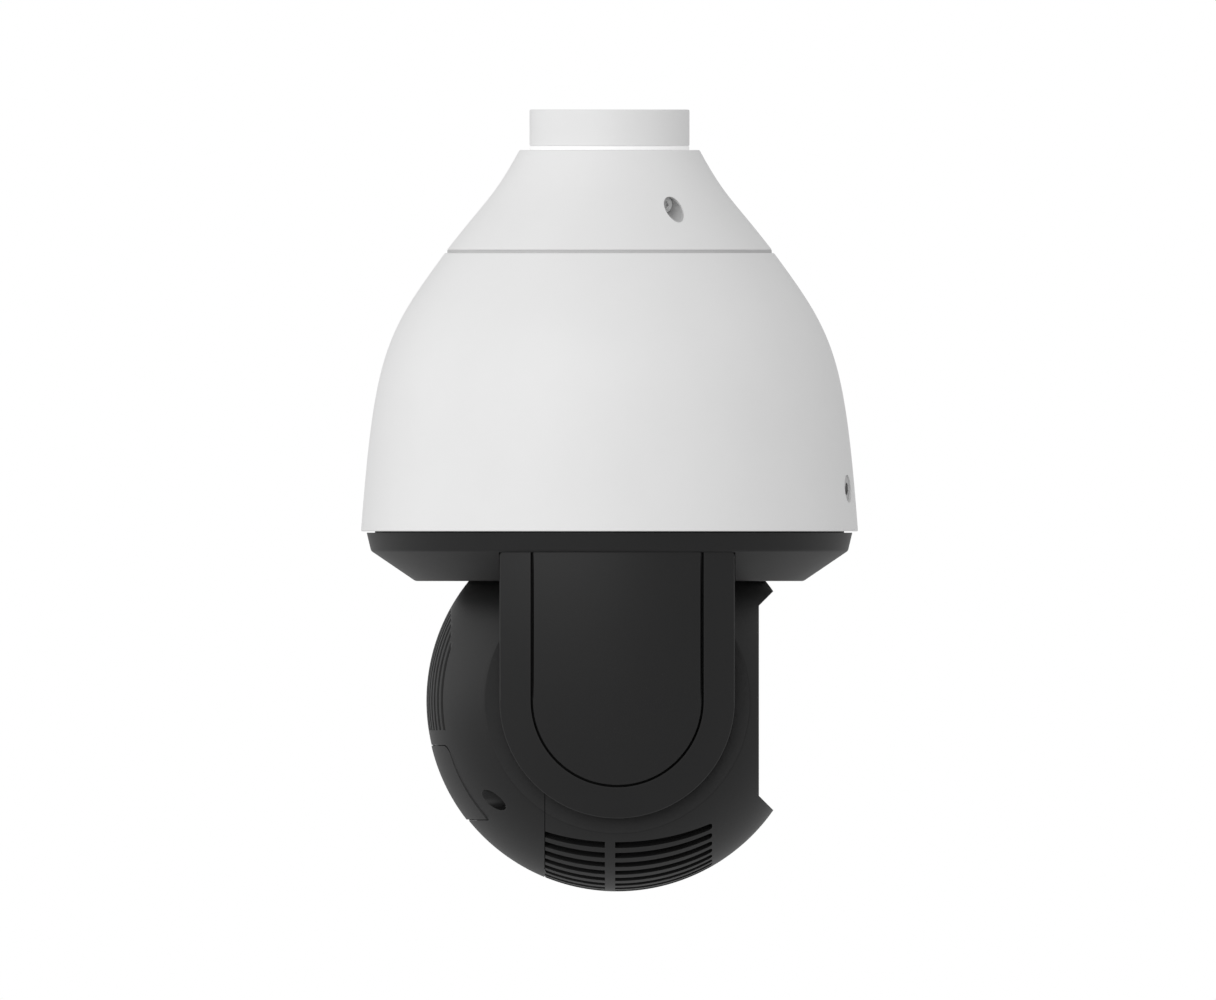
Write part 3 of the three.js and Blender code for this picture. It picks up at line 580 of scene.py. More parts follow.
class NodeSheet:
    """A node tree and the short steps that fill it."""

    def __init__(self, tree: bpy.types.NodeTree) -> None:
        """Works on one node tree."""
        self.tree = tree

    def node(self, kind: str, **settings: object) -> bpy.types.Node:
        """Adds a node.

        Args:
            kind: its type, without the leading ShaderNode.
            settings: its own settings, by name.

        Returns:
            The node.
        """
        made = self.tree.nodes.new(f"ShaderNode{kind}")
        for name, value in settings.items():
            setattr(made, name, value)
        return made

    def link(self, output: bpy.types.NodeSocket, target: bpy.types.NodeSocket) -> None:
        """Joins an output to an input."""
        self.tree.links.new(output, target)

    def set(self, node: bpy.types.Node, **values: object) -> bpy.types.Node:
        """Sets or joins a node's inputs. A name's underscores stand for spaces.

        Args:
            node: the node.
            values: a value or an output for each input.

        Returns:
            The node.
        """
        for name, value in values.items():
            socket = node.inputs[name.replace("_", " ")]
            if isinstance(value, bpy.types.NodeSocket):
                self.link(value, socket)
            else:
                socket.default_value = value
        return node

    def math(
        self, operation: str, first: object, second: object, clamp: bool = False
    ) -> bpy.types.NodeSocket:
        """A sum on two numbers or outputs.

        Args:
            operation: the Math node's word for it.
            first: the first number or output.
            second: the second one.
            clamp: whether the answer is kept between 0 and 1.

        Returns:
            The answer's output.
        """
        made = self.node("Math", operation=operation, use_clamp=clamp)
        for socket, value in zip(made.inputs, (first, second)):
            if isinstance(value, bpy.types.NodeSocket):
                self.link(value, socket)
            else:
                socket.default_value = value
        return made.outputs[0]

    def between(self, value: bpy.types.NodeSocket, low: object, high: object) -> bpy.types.NodeSocket:
        """A number from low to high as value goes from 0 to 1."""
        made = self.node("MapRange", clamp=True)
        self.set(made, Value=value, To_Min=low, To_Max=high)
        return made.outputs["Result"]

    def blend(self, mask: bpy.types.NodeSocket, first: object, second: object) -> bpy.types.NodeSocket:
        """A colour from first to second as mask goes from 0 to 1."""
        made = self.node("Mix", data_type="RGBA")
        for index, value in ((0, mask), (6, first), (7, second)):
            if isinstance(value, bpy.types.NodeSocket):
                self.link(value, made.inputs[index])
            else:
                made.inputs[index].default_value = (*value, 1.0)
        return made.outputs[2]


def new_group(
    name: str, takes: dict[str, float], gives: Sequence[str]
) -> tuple[bpy.types.NodeTree, NodeSheet]:
    """An empty node group with named inputs and outputs.

    Args:
        name: the group's name.
        takes: a default for each number that it takes.
        gives: the numbers that it gives.

    Returns:
        The group and the sheet that fills it.
    """
    group = bpy.data.node_groups.new(name, "ShaderNodeTree")
    for label, value in takes.items():
        socket = group.interface.new_socket(label, in_out="INPUT", socket_type="NodeSocketFloat")
        socket.default_value = value
    for label in gives:
        group.interface.new_socket(label, in_out="OUTPUT", socket_type="NodeSocketFloat")
    return group, NodeSheet(group)


class SharedEffects:
    """The node groups that several finishes use, each built once."""

    _groups: dict[str, bpy.types.NodeTree] = {}

    @classmethod
    def get(cls, name: str) -> bpy.types.NodeTree:
        """A shared group by its name, built the first time that it is asked for."""
        if name not in cls._groups:
            cls._groups[name] = getattr(cls, f"_{name}")()
        return cls._groups[name]

    @staticmethod
    def _coat_grain() -> bpy.types.NodeTree:
        """Fine grain with slower swells under it, and a slow cloudy tone, all fixed to the piece."""
        group, sheet = new_group(
            "coat_grain",
            {"Grain Size": 0.0005, "Swell Size": 0.002, "Swell Share": 0.5, "Cloud Size": 0.05},
            ("Height", "Tone", "Speck"),
        )
        inputs = group.nodes.new("NodeGroupInput")
        outputs = group.nodes.new("NodeGroupOutput")
        place = sheet.node("TexCoord").outputs["Object"]
        layers = {}
        for label, detail in (("Grain", 2.0), ("Swell", 1.0), ("Cloud", 3.0)):
            scale = sheet.math("DIVIDE", 1.0, inputs.outputs[f"{label} Size"])
            noise = sheet.set(sheet.node("TexNoise"), Vector=place, Scale=scale, Detail=detail, Roughness=0.5)
            layers[label] = noise.outputs["Fac"]
        swell = sheet.math("MULTIPLY", layers["Swell"], inputs.outputs["Swell Share"])
        height = sheet.math("ADD", layers["Grain"], swell)
        sheet.link(height, outputs.inputs["Height"])
        sheet.link(layers["Cloud"], outputs.inputs["Tone"])
        sheet.link(layers["Grain"], outputs.inputs["Speck"])
        return group

    @staticmethod
    def _edge_wear() -> bpy.types.NodeTree:
        """A mask that is 1 on worn edges, broken up by noise."""
        group, sheet = new_group("edge_wear", {"Width": 0.0008, "Amount": 0.5}, ("Mask",))
        inputs = group.nodes.new("NodeGroupInput")
        outputs = group.nodes.new("NodeGroupOutput")
        rounded = sheet.node("Bevel", samples=4)
        sheet.link(inputs.outputs["Width"], rounded.inputs["Radius"])
        true_normal = sheet.node("NewGeometry").outputs["Normal"]
        dot = sheet.node("VectorMath", operation="DOT_PRODUCT")
        sheet.link(rounded.outputs["Normal"], dot.inputs[0])
        sheet.link(true_normal, dot.inputs[1])
        turn = sheet.math("SUBTRACT", 1.0, dot.outputs["Value"])
        edge = sheet.math("MULTIPLY", turn, 8.0, clamp=True)
        place = sheet.node("TexCoord").outputs["Object"]
        noise = sheet.set(sheet.node("TexNoise"), Vector=place, Scale=260.0, Detail=4.0)
        broken = sheet.math("MULTIPLY", edge, sheet.between(noise.outputs["Fac"], 0.2, 1.0))
        sheet.link(sheet.math("MULTIPLY", broken, inputs.outputs["Amount"]), outputs.inputs["Mask"])
        return group

    @staticmethod
    def _settled_dust() -> bpy.types.NodeTree:
        """A mask that is higher where a piece's own surface faces up, broken up by noise."""
        group, sheet = new_group("settled_dust", {"Amount": 0.3}, ("Mask",))
        inputs = group.nodes.new("NodeGroupInput")
        outputs = group.nodes.new("NodeGroupOutput")
        coordinates = sheet.node("TexCoord")
        split = sheet.set(sheet.node("SeparateXYZ"), Vector=coordinates.outputs["Normal"])
        up = sheet.node("MapRange", clamp=True)
        sheet.set(up, Value=split.outputs["Z"], From_Min=0.25, From_Max=1.0, To_Min=0.0, To_Max=1.0)
        noise = sheet.set(
            sheet.node("TexNoise"), Vector=coordinates.outputs["Object"],
            Scale=45.0, Detail=6.0, Roughness=0.65,
        )
        patchy = sheet.math("MULTIPLY", up.outputs["Result"], noise.outputs["Fac"])
        sheet.link(sheet.math("MULTIPLY", patchy, inputs.outputs["Amount"]), outputs.inputs["Mask"])
        return group


MADE_MATERIALS: dict[str, bpy.types.Material] = {}


@dataclass(frozen=True)
class Finish:
    """A finish with a fine grain, a cloudy tone, worn edges, a little dust and, where set, a painted glow
    from emission.
    """

    name: str
    slot: Slot
    colour: Colour
    cloud_colour: Colour
    worn_colour: Colour = (0.4, 0.4, 0.4)
    dust_colour: Colour = (0.5, 0.49, 0.47)
    roughness: Span = (0.45, 0.55)
    metallic: float = 0.0
    specular: float = 0.5
    grain_size: float = 0.0005
    swell_size: float = 0.002
    swell_share: float = 0.5
    cloud_size: float = 0.05
    relief: float = 0.00003
    wear: float = 0.0
    dust: float = 0.0
    # painted light: emission that makes a part that is no lamp look brighter than its lighting allows
    painted_glow: float = 0.0

    def material(self) -> bpy.types.Material:
        """The finish's material, made the first time that a piece asks for it."""
        if self.name not in MADE_MATERIALS:
            MADE_MATERIALS[self.name] = self._made()
        return MADE_MATERIALS[self.name]

    def _made(self) -> bpy.types.Material:
        """Builds the material's nodes.

        Returns:
            The material.
        """
        material = bpy.data.materials.new(self.name)
        material.use_nodes = True
        sheet = NodeSheet(material.node_tree)
        shader = material.node_tree.nodes["Principled BSDF"]
        grain = self._group(sheet, "coat_grain")
        sheet.set(
            grain, Grain_Size=self.grain_size, Swell_Size=self.swell_size,
            Swell_Share=self.swell_share, Cloud_Size=self.cloud_size,
        )
        colour = sheet.blend(grain.outputs["Tone"], self.colour, self.cloud_colour)
        if self.wear > 0:
            wear = sheet.set(self._group(sheet, "edge_wear"), Amount=self.wear)
            colour = sheet.blend(wear.outputs["Mask"], colour, self.worn_colour)
        if self.dust > 0:
            dust = sheet.set(self._group(sheet, "settled_dust"), Amount=self.dust)
            colour = sheet.blend(dust.outputs["Mask"], colour, self.dust_colour)
        bump = sheet.node("Bump")
        sheet.set(bump, Height=grain.outputs["Height"], Distance=self.relief, Strength=1.0)
        # The emission is painted light: it brightens the surface though it is no lamp.
        sheet.set(
            shader, Base_Color=colour, Roughness=sheet.between(grain.outputs["Tone"], *self.roughness),
            Metallic=self.metallic, Specular_IOR_Level=self.specular, Normal=bump.outputs["Normal"],
            Emission_Color=(1.0, 1.0, 1.0, 1.0), Emission_Strength=self.painted_glow,
        )
        self._add_more(sheet, shader)
        return material

    @staticmethod
    def _group(sheet: NodeSheet, name: str) -> bpy.types.Node:
        """Places a shared group in a sheet."""
        made = sheet.node("Group")
        made.node_tree = SharedEffects.get(name)
        return made

    def _add_more(self, sheet: NodeSheet, shader: bpy.types.Node) -> None:
        """What a finish of another kind adds to the plain one."""


@dataclass(frozen=True)
class BrushedFinish(Finish):
    """A metal with fine lines all one way."""

    lines: tuple[float, float, float] = (40.0, 40.0, 3000.0)

    def _add_more(self, sheet: NodeSheet, shader: bpy.types.Node) -> None:
        """Adds the lines to the roughness and the bump."""
        place = sheet.node("TexCoord").outputs["Object"]
        stretch = sheet.set(sheet.node("Mapping"), Vector=place, Scale=self.lines)
        noise = sheet.set(sheet.node("TexNoise"), Vector=stretch.outputs["Vector"], Scale=1.0, Detail=3.0)
        bump = sheet.node("Bump")
        sheet.set(bump, Height=noise.outputs["Fac"], Distance=self.relief, Strength=1.0)
        sheet.set(
            shader, Roughness=sheet.between(noise.outputs["Fac"], *self.roughness),
            Normal=bump.outputs["Normal"],
        )


@dataclass(frozen=True)
class BoardFinish(Finish):
    """A circuit board's solder mask, with copper tracks under it."""

    track_colour: Colour = (0.09, 0.3, 0.13)
    pitch: float = 0.0026

    def _add_more(self, sheet: NodeSheet, shader: bpy.types.Node) -> None:
        """Draws tracks as thin bands that change direction from cell to cell."""
        place = sheet.node("TexCoord").outputs["Object"]
        cells = sheet.node("TexBrick", offset=0.5, squash=1.0)
        sheet.set(
            cells, Vector=place, Color1=(0, 0, 0, 1), Color2=(0, 0, 0, 1), Mortar=(1, 1, 1, 1),
            Scale=1.0 / self.pitch, Mortar_Size=0.06, Brick_Width=2.4, Row_Height=0.5,
        )
        base = shader.inputs["Base Color"].links[0].from_socket
        mask = sheet.node("SeparateColor")
        sheet.link(cells.outputs["Color"], mask.inputs["Color"])
        sheet.set(shader, Base_Color=sheet.blend(mask.outputs["Red"], base, self.track_colour))


@dataclass(frozen=True)
class GlassFinish(Finish):
    """Clear glass with faint smears in its polish."""

    ior: float = 1.5
    coat_tint: Colour = (1.0, 1.0, 1.0)

    def _made(self) -> bpy.types.Material:
        """Builds the glass.

        Returns:
            The material.
        """
        material = bpy.data.materials.new(self.name)
        material.use_nodes = True
        sheet = NodeSheet(material.node_tree)
        shader = material.node_tree.nodes["Principled BSDF"]
        grain = self._group(sheet, "coat_grain")
        sheet.set(grain, Grain_Size=self.grain_size, Cloud_Size=self.cloud_size)
        bump = sheet.node("Bump")
        sheet.set(bump, Height=grain.outputs["Tone"], Distance=self.relief, Strength=1.0)
        facing = sheet.set(sheet.node("LayerWeight"), Blend=0.35).outputs["Facing"]
        sheet.set(
            shader, Base_Color=sheet.blend(facing, self.colour, self.cloud_colour),
            Roughness=sheet.between(grain.outputs["Tone"], *self.roughness),
            Transmission_Weight=1.0, IOR=self.ior, Normal=bump.outputs["Normal"],
            Specular_IOR_Level=self.specular, Specular_Tint=(*self.coat_tint, 1.0),
        )
        return material


WHITE_PAINT = Finish(
    "white_powder_coat", Slot.WHITE_PAINT, (0.92, 0.92, 0.92), (0.87, 0.87, 0.87), (0.7, 0.7, 0.69),
    dust_colour=(0.62, 0.61, 0.58), roughness=(0.42, 0.52), grain_size=0.00045, swell_size=0.0016,
    relief=0.00002, wear=0.25, dust=0.06,
)
BLACK_PAINT = Finish(
    "black_powder_coat", Slot.BLACK_PAINT, (0.0055, 0.0055, 0.0057), (0.0085, 0.0085, 0.0088),
    (0.05, 0.05, 0.05), dust_colour=(0.16, 0.155, 0.15), roughness=(0.42, 0.5), specular=0.38,
    grain_size=0.0004, swell_size=0.0014, relief=0.00003, wear=0.35, dust=0.04,
)
# Painted light: the washer glows by emission, so that it shows as a bright white line below the collar.
WASHER_RUBBER = Finish(
    "washer_rubber_painted_glow", Slot.PALE_RUBBER, (0.97, 0.97, 0.97), (0.94, 0.94, 0.94), roughness=(0.5, 0.65),
    grain_size=0.0006, relief=0.00003, painted_glow=0.17,
)
SEAM_RUBBER = Finish(
    "black_seam_rubber", Slot.SEAL_RUBBER, (0.003, 0.003, 0.003), (0.002, 0.002, 0.002),
    roughness=(0.85, 0.95), specular=0.08, grain_size=0.0007, relief=0.00004,
)
# Painted shade: the grey of the sleeves that darken the inside of the cone's screw holes.
SHADE_SLEEVE_RUBBER = Finish(
    "hole_shade_sleeve_rubber", Slot.SEAL_RUBBER, (0.55, 0.55, 0.55), (0.48, 0.48, 0.48), roughness=(0.6, 0.75),
    grain_size=0.0007, relief=0.00004,
)
JOINT_RUBBER = Finish(
    "grey_joint_rubber", Slot.PALE_RUBBER, (0.62, 0.62, 0.62), (0.55, 0.55, 0.55), roughness=(0.6, 0.75),
    grain_size=0.0007, relief=0.00004,
)
SEAL_RUBBER = Finish(
    "black_seal_rubber", Slot.SEAL_RUBBER, (0.012, 0.012, 0.012), (0.022, 0.022, 0.022),
    roughness=(0.7, 0.88), grain_size=0.0006, relief=0.00005,
)
BLACK_PLASTIC = Finish(
    "moulded_black_plastic", Slot.BLACK_PLASTIC, (0.016, 0.016, 0.017), (0.026, 0.026, 0.027),
    (0.06, 0.06, 0.06), roughness=(0.45, 0.62), grain_size=0.0003, relief=0.00004, wear=0.3,
)
ALUMINIUM = Finish(
    "rough_cast_aluminium", Slot.CAST_ALUMINIUM, (0.56, 0.57, 0.58), (0.66, 0.66, 0.67),
    roughness=(0.35, 0.55), metallic=1.0, grain_size=0.0006, relief=0.00006,
)
STEEL = BrushedFinish(
    "brushed_steel", Slot.STEEL, (0.5, 0.5, 0.5), (0.6, 0.6, 0.6), roughness=(0.24, 0.42), metallic=1.0,
    relief=0.00001,
)
CIRCUIT_BOARD = BoardFinish(
    "green_solder_mask", Slot.CIRCUIT_BOARD, (0.02, 0.12, 0.05), (0.03, 0.15, 0.07), roughness=(0.3, 0.45),
    relief=0.00002,
)
WINDOW_GLASS = GlassFinish(
    "clear_window_glass", Slot.WINDOW_GLASS, (0.93, 0.95, 0.96), (0.8, 0.84, 0.9), roughness=(0.0, 0.02),
    cloud_size=0.02, relief=0.000002, specular=0.2,
)
LENS_GLASS = GlassFinish(
    "coated_lens_glass", Slot.LENS_GLASS, (0.72, 0.74, 0.95), (0.45, 0.3, 0.75), roughness=(0.0, 0.01),
    cloud_size=0.01, relief=0.000001, ior=1.6, coat_tint=(0.75, 0.6, 1.0),
)
FILTER_FOAM = Finish(
    "black_filter_foam", Slot.SEAL_RUBBER, (0.006, 0.006, 0.006), (0.012, 0.012, 0.012),
    roughness=(0.85, 0.95), specular=0.2, grain_size=0.0012, swell_size=0.0025, relief=0.0004,
)


# ---------------------------------------------------------------------------------------------------------
# The housing that stays still
# ---------------------------------------------------------------------------------------------------------


@dataclass(frozen=True)
class Curve:
    """A moulding's outline between two points, pulled by two handles, as (radius, height)."""

    top: Corner
    pull: Corner
    push: Corner
    bottom: Corner

    def points(self, steps: int) -> list[Corner]:
        """Corners along the outline, from the top down."""
        corners = (self.top, self.pull, self.push, self.bottom)
        knots = [Vector((radius, height, 0)) for radius, height in corners]
        return [(point.x, point.y) for point in interpolate_bezier(*knots, steps + 1)]


@dataclass
class SocketScrew:
    """A socket-head screw with a rounded rim, a hexagon socket and a shank."""

    head_radius: float
    head_height: float
    rim: float = 0.35
    shank_share: float = 0.5
    shank_sunk: float = 0.5
    socket_share: float = 0.52
    socket_depth_share: float = 0.55
    deepest_share: float = 0.6
    socket_sides: int = 6

    def solid(self, place: Callable[[float], Vector], face: float, under: float, end: float) -> Solid:
        """The screw on its axis.

        Args:
            place: the point at a distance along the axis.
            face: where its head's outer face is on the axis.
            under: where its head's underside is.
            end: where its shank ends.

        Returns:
            The solid.
        """
        inward = 1 if under > face else -1
        screw = Solid.rod(self.head_radius, place(face), place(under), HEAD).softened(self.rim, 3)
        root = place(under - inward * self.shank_sunk)
        screw.joined(Solid.rod(self.head_radius * self.shank_share, root, place(end)))
        depth = min(self.head_height * self.socket_depth_share, self.head_radius * self.deepest_share)
        ends = (place(face - inward), place(face + inward * depth))
        return screw.cut(Solid.rod(self.head_radius * self.socket_share, *ends, self.socket_sides))


@dataclass
class CeilingHousing:
    """The pipe collar, the cone, the bell and what joins them."""

    collar_radius: float = 38.7
    collar_depth: float = 17.7
    bore: float = 24.0
    neck: float = 30.0
    flange: float = 66.0
    flange_thick: float = 5.0
    thread_pitch: float = 2.2
    thread_depth: float = 1.15
    thread_start: float = 1.2
    threads: int = 12
    collar_edge: float = 0.7
    gasket_radii: Span = (30.6, 38.6)
    gasket_edge: float = 0.2
    skin: float = 3.4
    lid: float = 3.0
    edge: float = 0.6
    cone_steps: int = 32
    bell_steps: int = 56
    bell_lid_hole: float = 44.0
    seal_radii: Span = (68.0, 78.5)
    seal_edge: float = 0.1
    cone: Curve = Curve((43.55, -19.6), (56.1, -42.81), (59.58, -43.3), (78.63, -67.99))
    bell: Curve = Curve((79.6, -69.44), (108.66, -108.94), (113.73, -117.88), (120.25, -204.1))
    cone_screw_azimuth: float = 30.0
    cone_screw_radius: float = 62.9
    cone_screw_height: float = -48.5
    cone_screw_droop: float = 13.0
    cone_screw_hole: float = 5.0
    cone_screw_mouth: float = -6.0
    cone_screw_seat: float = 14.0
    cone_screw_end: float = 38.0
    tube_wall: float = 2.5
    tube_start: float = 0.5
    tube_floor: float = 3.0
    shank_hole: float = 2.8
    # The sizes of the sleeve, which is painted shade inside each of the cone's screw holes.
    shade_sleeve_wall: float = 0.55
    shade_sleeve_drop: float = 0.9
    bell_screw_azimuth: float = 77.0
    bell_screw_radius: float = 118.7
    bell_screw_height: float = -183.6
    bell_screw_sunk: float = 1.0
    bell_screw_end: float = 104.0
    bell_screw_hole: float = 6.75
    bell_hole_span: Span = (108.0, 126.0)

    def build(self) -> None:
        """Builds every piece of the housing that shows."""
        self.mounting_collar().finish("pipe_collar", WHITE_PAINT, Body.HOUSING, ["mounting_collar"])
        self.collar_gasket().finish("collar_washer", WASHER_RUBBER, Body.HOUSING, ["collar_gasket"])
        self.cone_cover().finish("cone_moulding", WHITE_PAINT, Body.HOUSING, ["cone_cover"])
        self.cone_seal().finish("cone_seal_ring", JOINT_RUBBER, Body.HOUSING, ["cone_seal"])
        self.bell_housing().finish("bell_moulding", WHITE_PAINT, Body.HOUSING, ["bell_housing"])
        for word, turn in (("front", 0.0), ("rear", 180.0)):
            cone_screw = self.cone_screw(turn)
            cone_screw.finish(f"cone_cap_screw_{word}", WHITE_PAINT, Body.HOUSING, [f"cone_screw_{word}"])
            # The sleeve is painted shade: it darkens the inside of the screw hole.
            self.cone_shade_sleeve(turn).finish(f"cone_screw_sleeve_{word}", SHADE_SLEEVE_RUBBER, Body.HOUSING)
            bell_screw = self.bell_screw(turn)
            bell_screw.finish(f"bell_cap_screw_{word}", STEEL, Body.HOUSING, [f"bell_screw_{word}"])

    def mounting_collar(self) -> Solid:
        """The collar with its threaded bore, its neck and the flange that carries the bell."""
        low, high = corners_of("mounting_collar")
        flange_top = low.z + self.flange_thick
        thread_root = self.bore + self.thread_depth
        bore = [(thread_root, high.z)]
        for number in range(self.threads):
            top = high.z - self.thread_start - number * self.thread_pitch
            bore += [(self.bore, top), (thread_root, top - self.thread_pitch / 2)]
        bore.append((self.bore, high.z - self.thread_start - self.threads * self.thread_pitch))
        outline = [
            (self.collar_radius, high.z), (self.collar_radius, -self.collar_depth),
            (self.neck, -self.collar_depth), (self.neck, flange_top),
            (self.flange, flange_top), (self.flange, low.z), (self.bore, low.z),
        ]
        collar = Solid.turned(outline + list(reversed(bore)), steps=MIDDLING)
        return collar.softened(self.collar_edge, 3, where=self.is_collar_edge)

    def is_collar_edge(self, point: Vector) -> bool:
        """Whether a point is on the upper or lower outer edge of the collar."""
        return Vector(point.xy).length > self.collar_radius - 1 and point.z > -self.collar_depth - 1

    def collar_gasket(self) -> Solid:
        """The pale washer between the collar and the cone."""
        top, bottom = -self.collar_depth - HAIR, self.cone.top[1] + HAIR
        return Solid.ring(*self.gasket_radii, (bottom, top), steps=MIDDLING).softened(self.gasket_edge)

    def cone_screw_point(self, turn: float, depth: float) -> Vector:
        """The point a depth down a cone screw's axis, below the cover's surface."""
        angle, droop = math.radians(self.cone_screw_azimuth + turn), math.radians(self.cone_screw_droop)
        radius = self.cone_screw_radius - depth * math.cos(droop)
        height = self.cone_screw_height + depth * math.sin(droop)
        return Vector((radius * math.sin(angle), -radius * math.cos(angle), height))

    def cone_screw(self, turn: float) -> Solid:
        """A screw at the bottom of its hole in the cone."""
        screw = SocketScrew(head_radius=4.3, head_height=4.0)
        under = self.cone_screw_seat - GAP
        return screw.solid(
            lambda depth: self.cone_screw_point(turn, depth), under - screw.head_height, under,
            self.cone_screw_end,
        )

    def cone_shade_sleeve(self, turn: float) -> Solid:
        """A grey sleeve that lines one of the cone's screw holes, a little below its mouth: painted shade
        that darkens the inside of the hole.
        """
        seat, wide = self.cone_screw_seat, self.cone_screw_hole
        sleeve = self.cone_screw_rod(turn, wide - HAIR, self.cone_screw_mouth, seat - GAP)
        sleeve.cut(self.cone_screw_rod(turn, wide - self.shade_sleeve_wall, self.cone_screw_mouth - 2, seat + 1))
        wall = [(radius - self.shade_sleeve_drop, height) for radius, height in self.cone.points(self.cone_steps)]
        return sleeve.kept(Solid.turned([(0, self.cone.top[1]), *wall, (0, self.cone.bottom[1])]))

    def cone_screw_rod(self, turn: float, radius: float, start: float, end: float) -> Solid:
        """A rod on a cone screw's axis."""
        return Solid.rod(radius, self.cone_screw_point(turn, start), self.cone_screw_point(turn, end), BORE)

    def moulding(self, curve: Curve, lid_hole: float, steps: int) -> Solid:
        """A moulded skin with a flat lid at its top.

        Args:
            curve: its outer outline.
            lid_hole: the radius of the hole in its lid.
            steps: the straight steps down its outline.

        Returns:
            The solid, with its outer edges softened.
        """
        outside = curve.points(steps)
        lid_under = curve.top[1] - self.lid
        below = [(radius - self.skin, height) for radius, height in outside if height < lid_under]
        inside = [(below[0][0], lid_under), *below[1:]]
        outline = [(lid_hole, curve.top[1]), *outside, *reversed(inside), (lid_hole, lid_under)]
        return Solid.turned(outline).softened(self.edge, 3)

    def cone_cover(self) -> Solid:
        """The flared cone, with a tube inside each screw hole."""
        cover = self.moulding(self.cone, self.neck + GAP, self.cone_steps)
        wall = self.cone.points(self.cone_steps)[2:]
        filled = Solid.turned([(0, self.cone.top[1] - 1), *wall, (0, self.cone.bottom[1])])
        seat, wide = self.cone_screw_seat, self.cone_screw_hole
        for turn in (0.0, 180.0):
            tube = self.cone_screw_rod(turn, wide + self.tube_wall, self.tube_start, seat + self.tube_floor)
            cover.joined(tube.kept(filled))
            cover.cut(
                self.cone_screw_rod(turn, wide, self.cone_screw_mouth - 10, seat),
                self.cone_screw_rod(turn, self.shank_hole, seat - 1, seat + self.tube_floor + 2),
            )
        return cover

    def cone_seal(self) -> Solid:
        """The seal that shows as a line between the cone and the bell."""
        span = (self.bell.top[1] + HAIR, self.cone.bottom[1] - HAIR)
        return Solid.ring(*self.seal_radii, span, steps=FINE).softened(self.seal_edge)

    def bell_screw(self, turn: float) -> Solid:
        """A screw near the bell's rim, its face just inside the wall's outer surface."""
        screw = SocketScrew(head_radius=6.3, head_height=3.5)
        face = self.bell_screw_radius - self.bell_screw_sunk
        return screw.solid(
            lambda radius: self.bell_screw_point(turn, radius), face, face - screw.head_height,
            self.bell_screw_end,
        )

    def bell_screw_point(self, turn: float, radius: float) -> Vector:
        """The point at a radius on a bell screw's axis."""
        angle = math.radians(self.bell_screw_azimuth + turn)
        return Vector((radius * math.sin(angle), -radius * math.cos(angle), self.bell_screw_height))

    def bell_housing(self) -> Solid:
        """The bell, with a round hole for each rim screw."""
        bell = self.moulding(self.bell, self.bell_lid_hole, self.bell_steps)
        for turn in (0.0, 180.0):
            ends = [self.bell_screw_point(turn, radius) for radius in self.bell_hole_span]
            bell.cut(Solid.rod(self.bell_screw_hole, *ends, BORE))
        return bell


# ---------------------------------------------------------------------------------------------------------
# The yoke that pans
# ---------------------------------------------------------------------------------------------------------


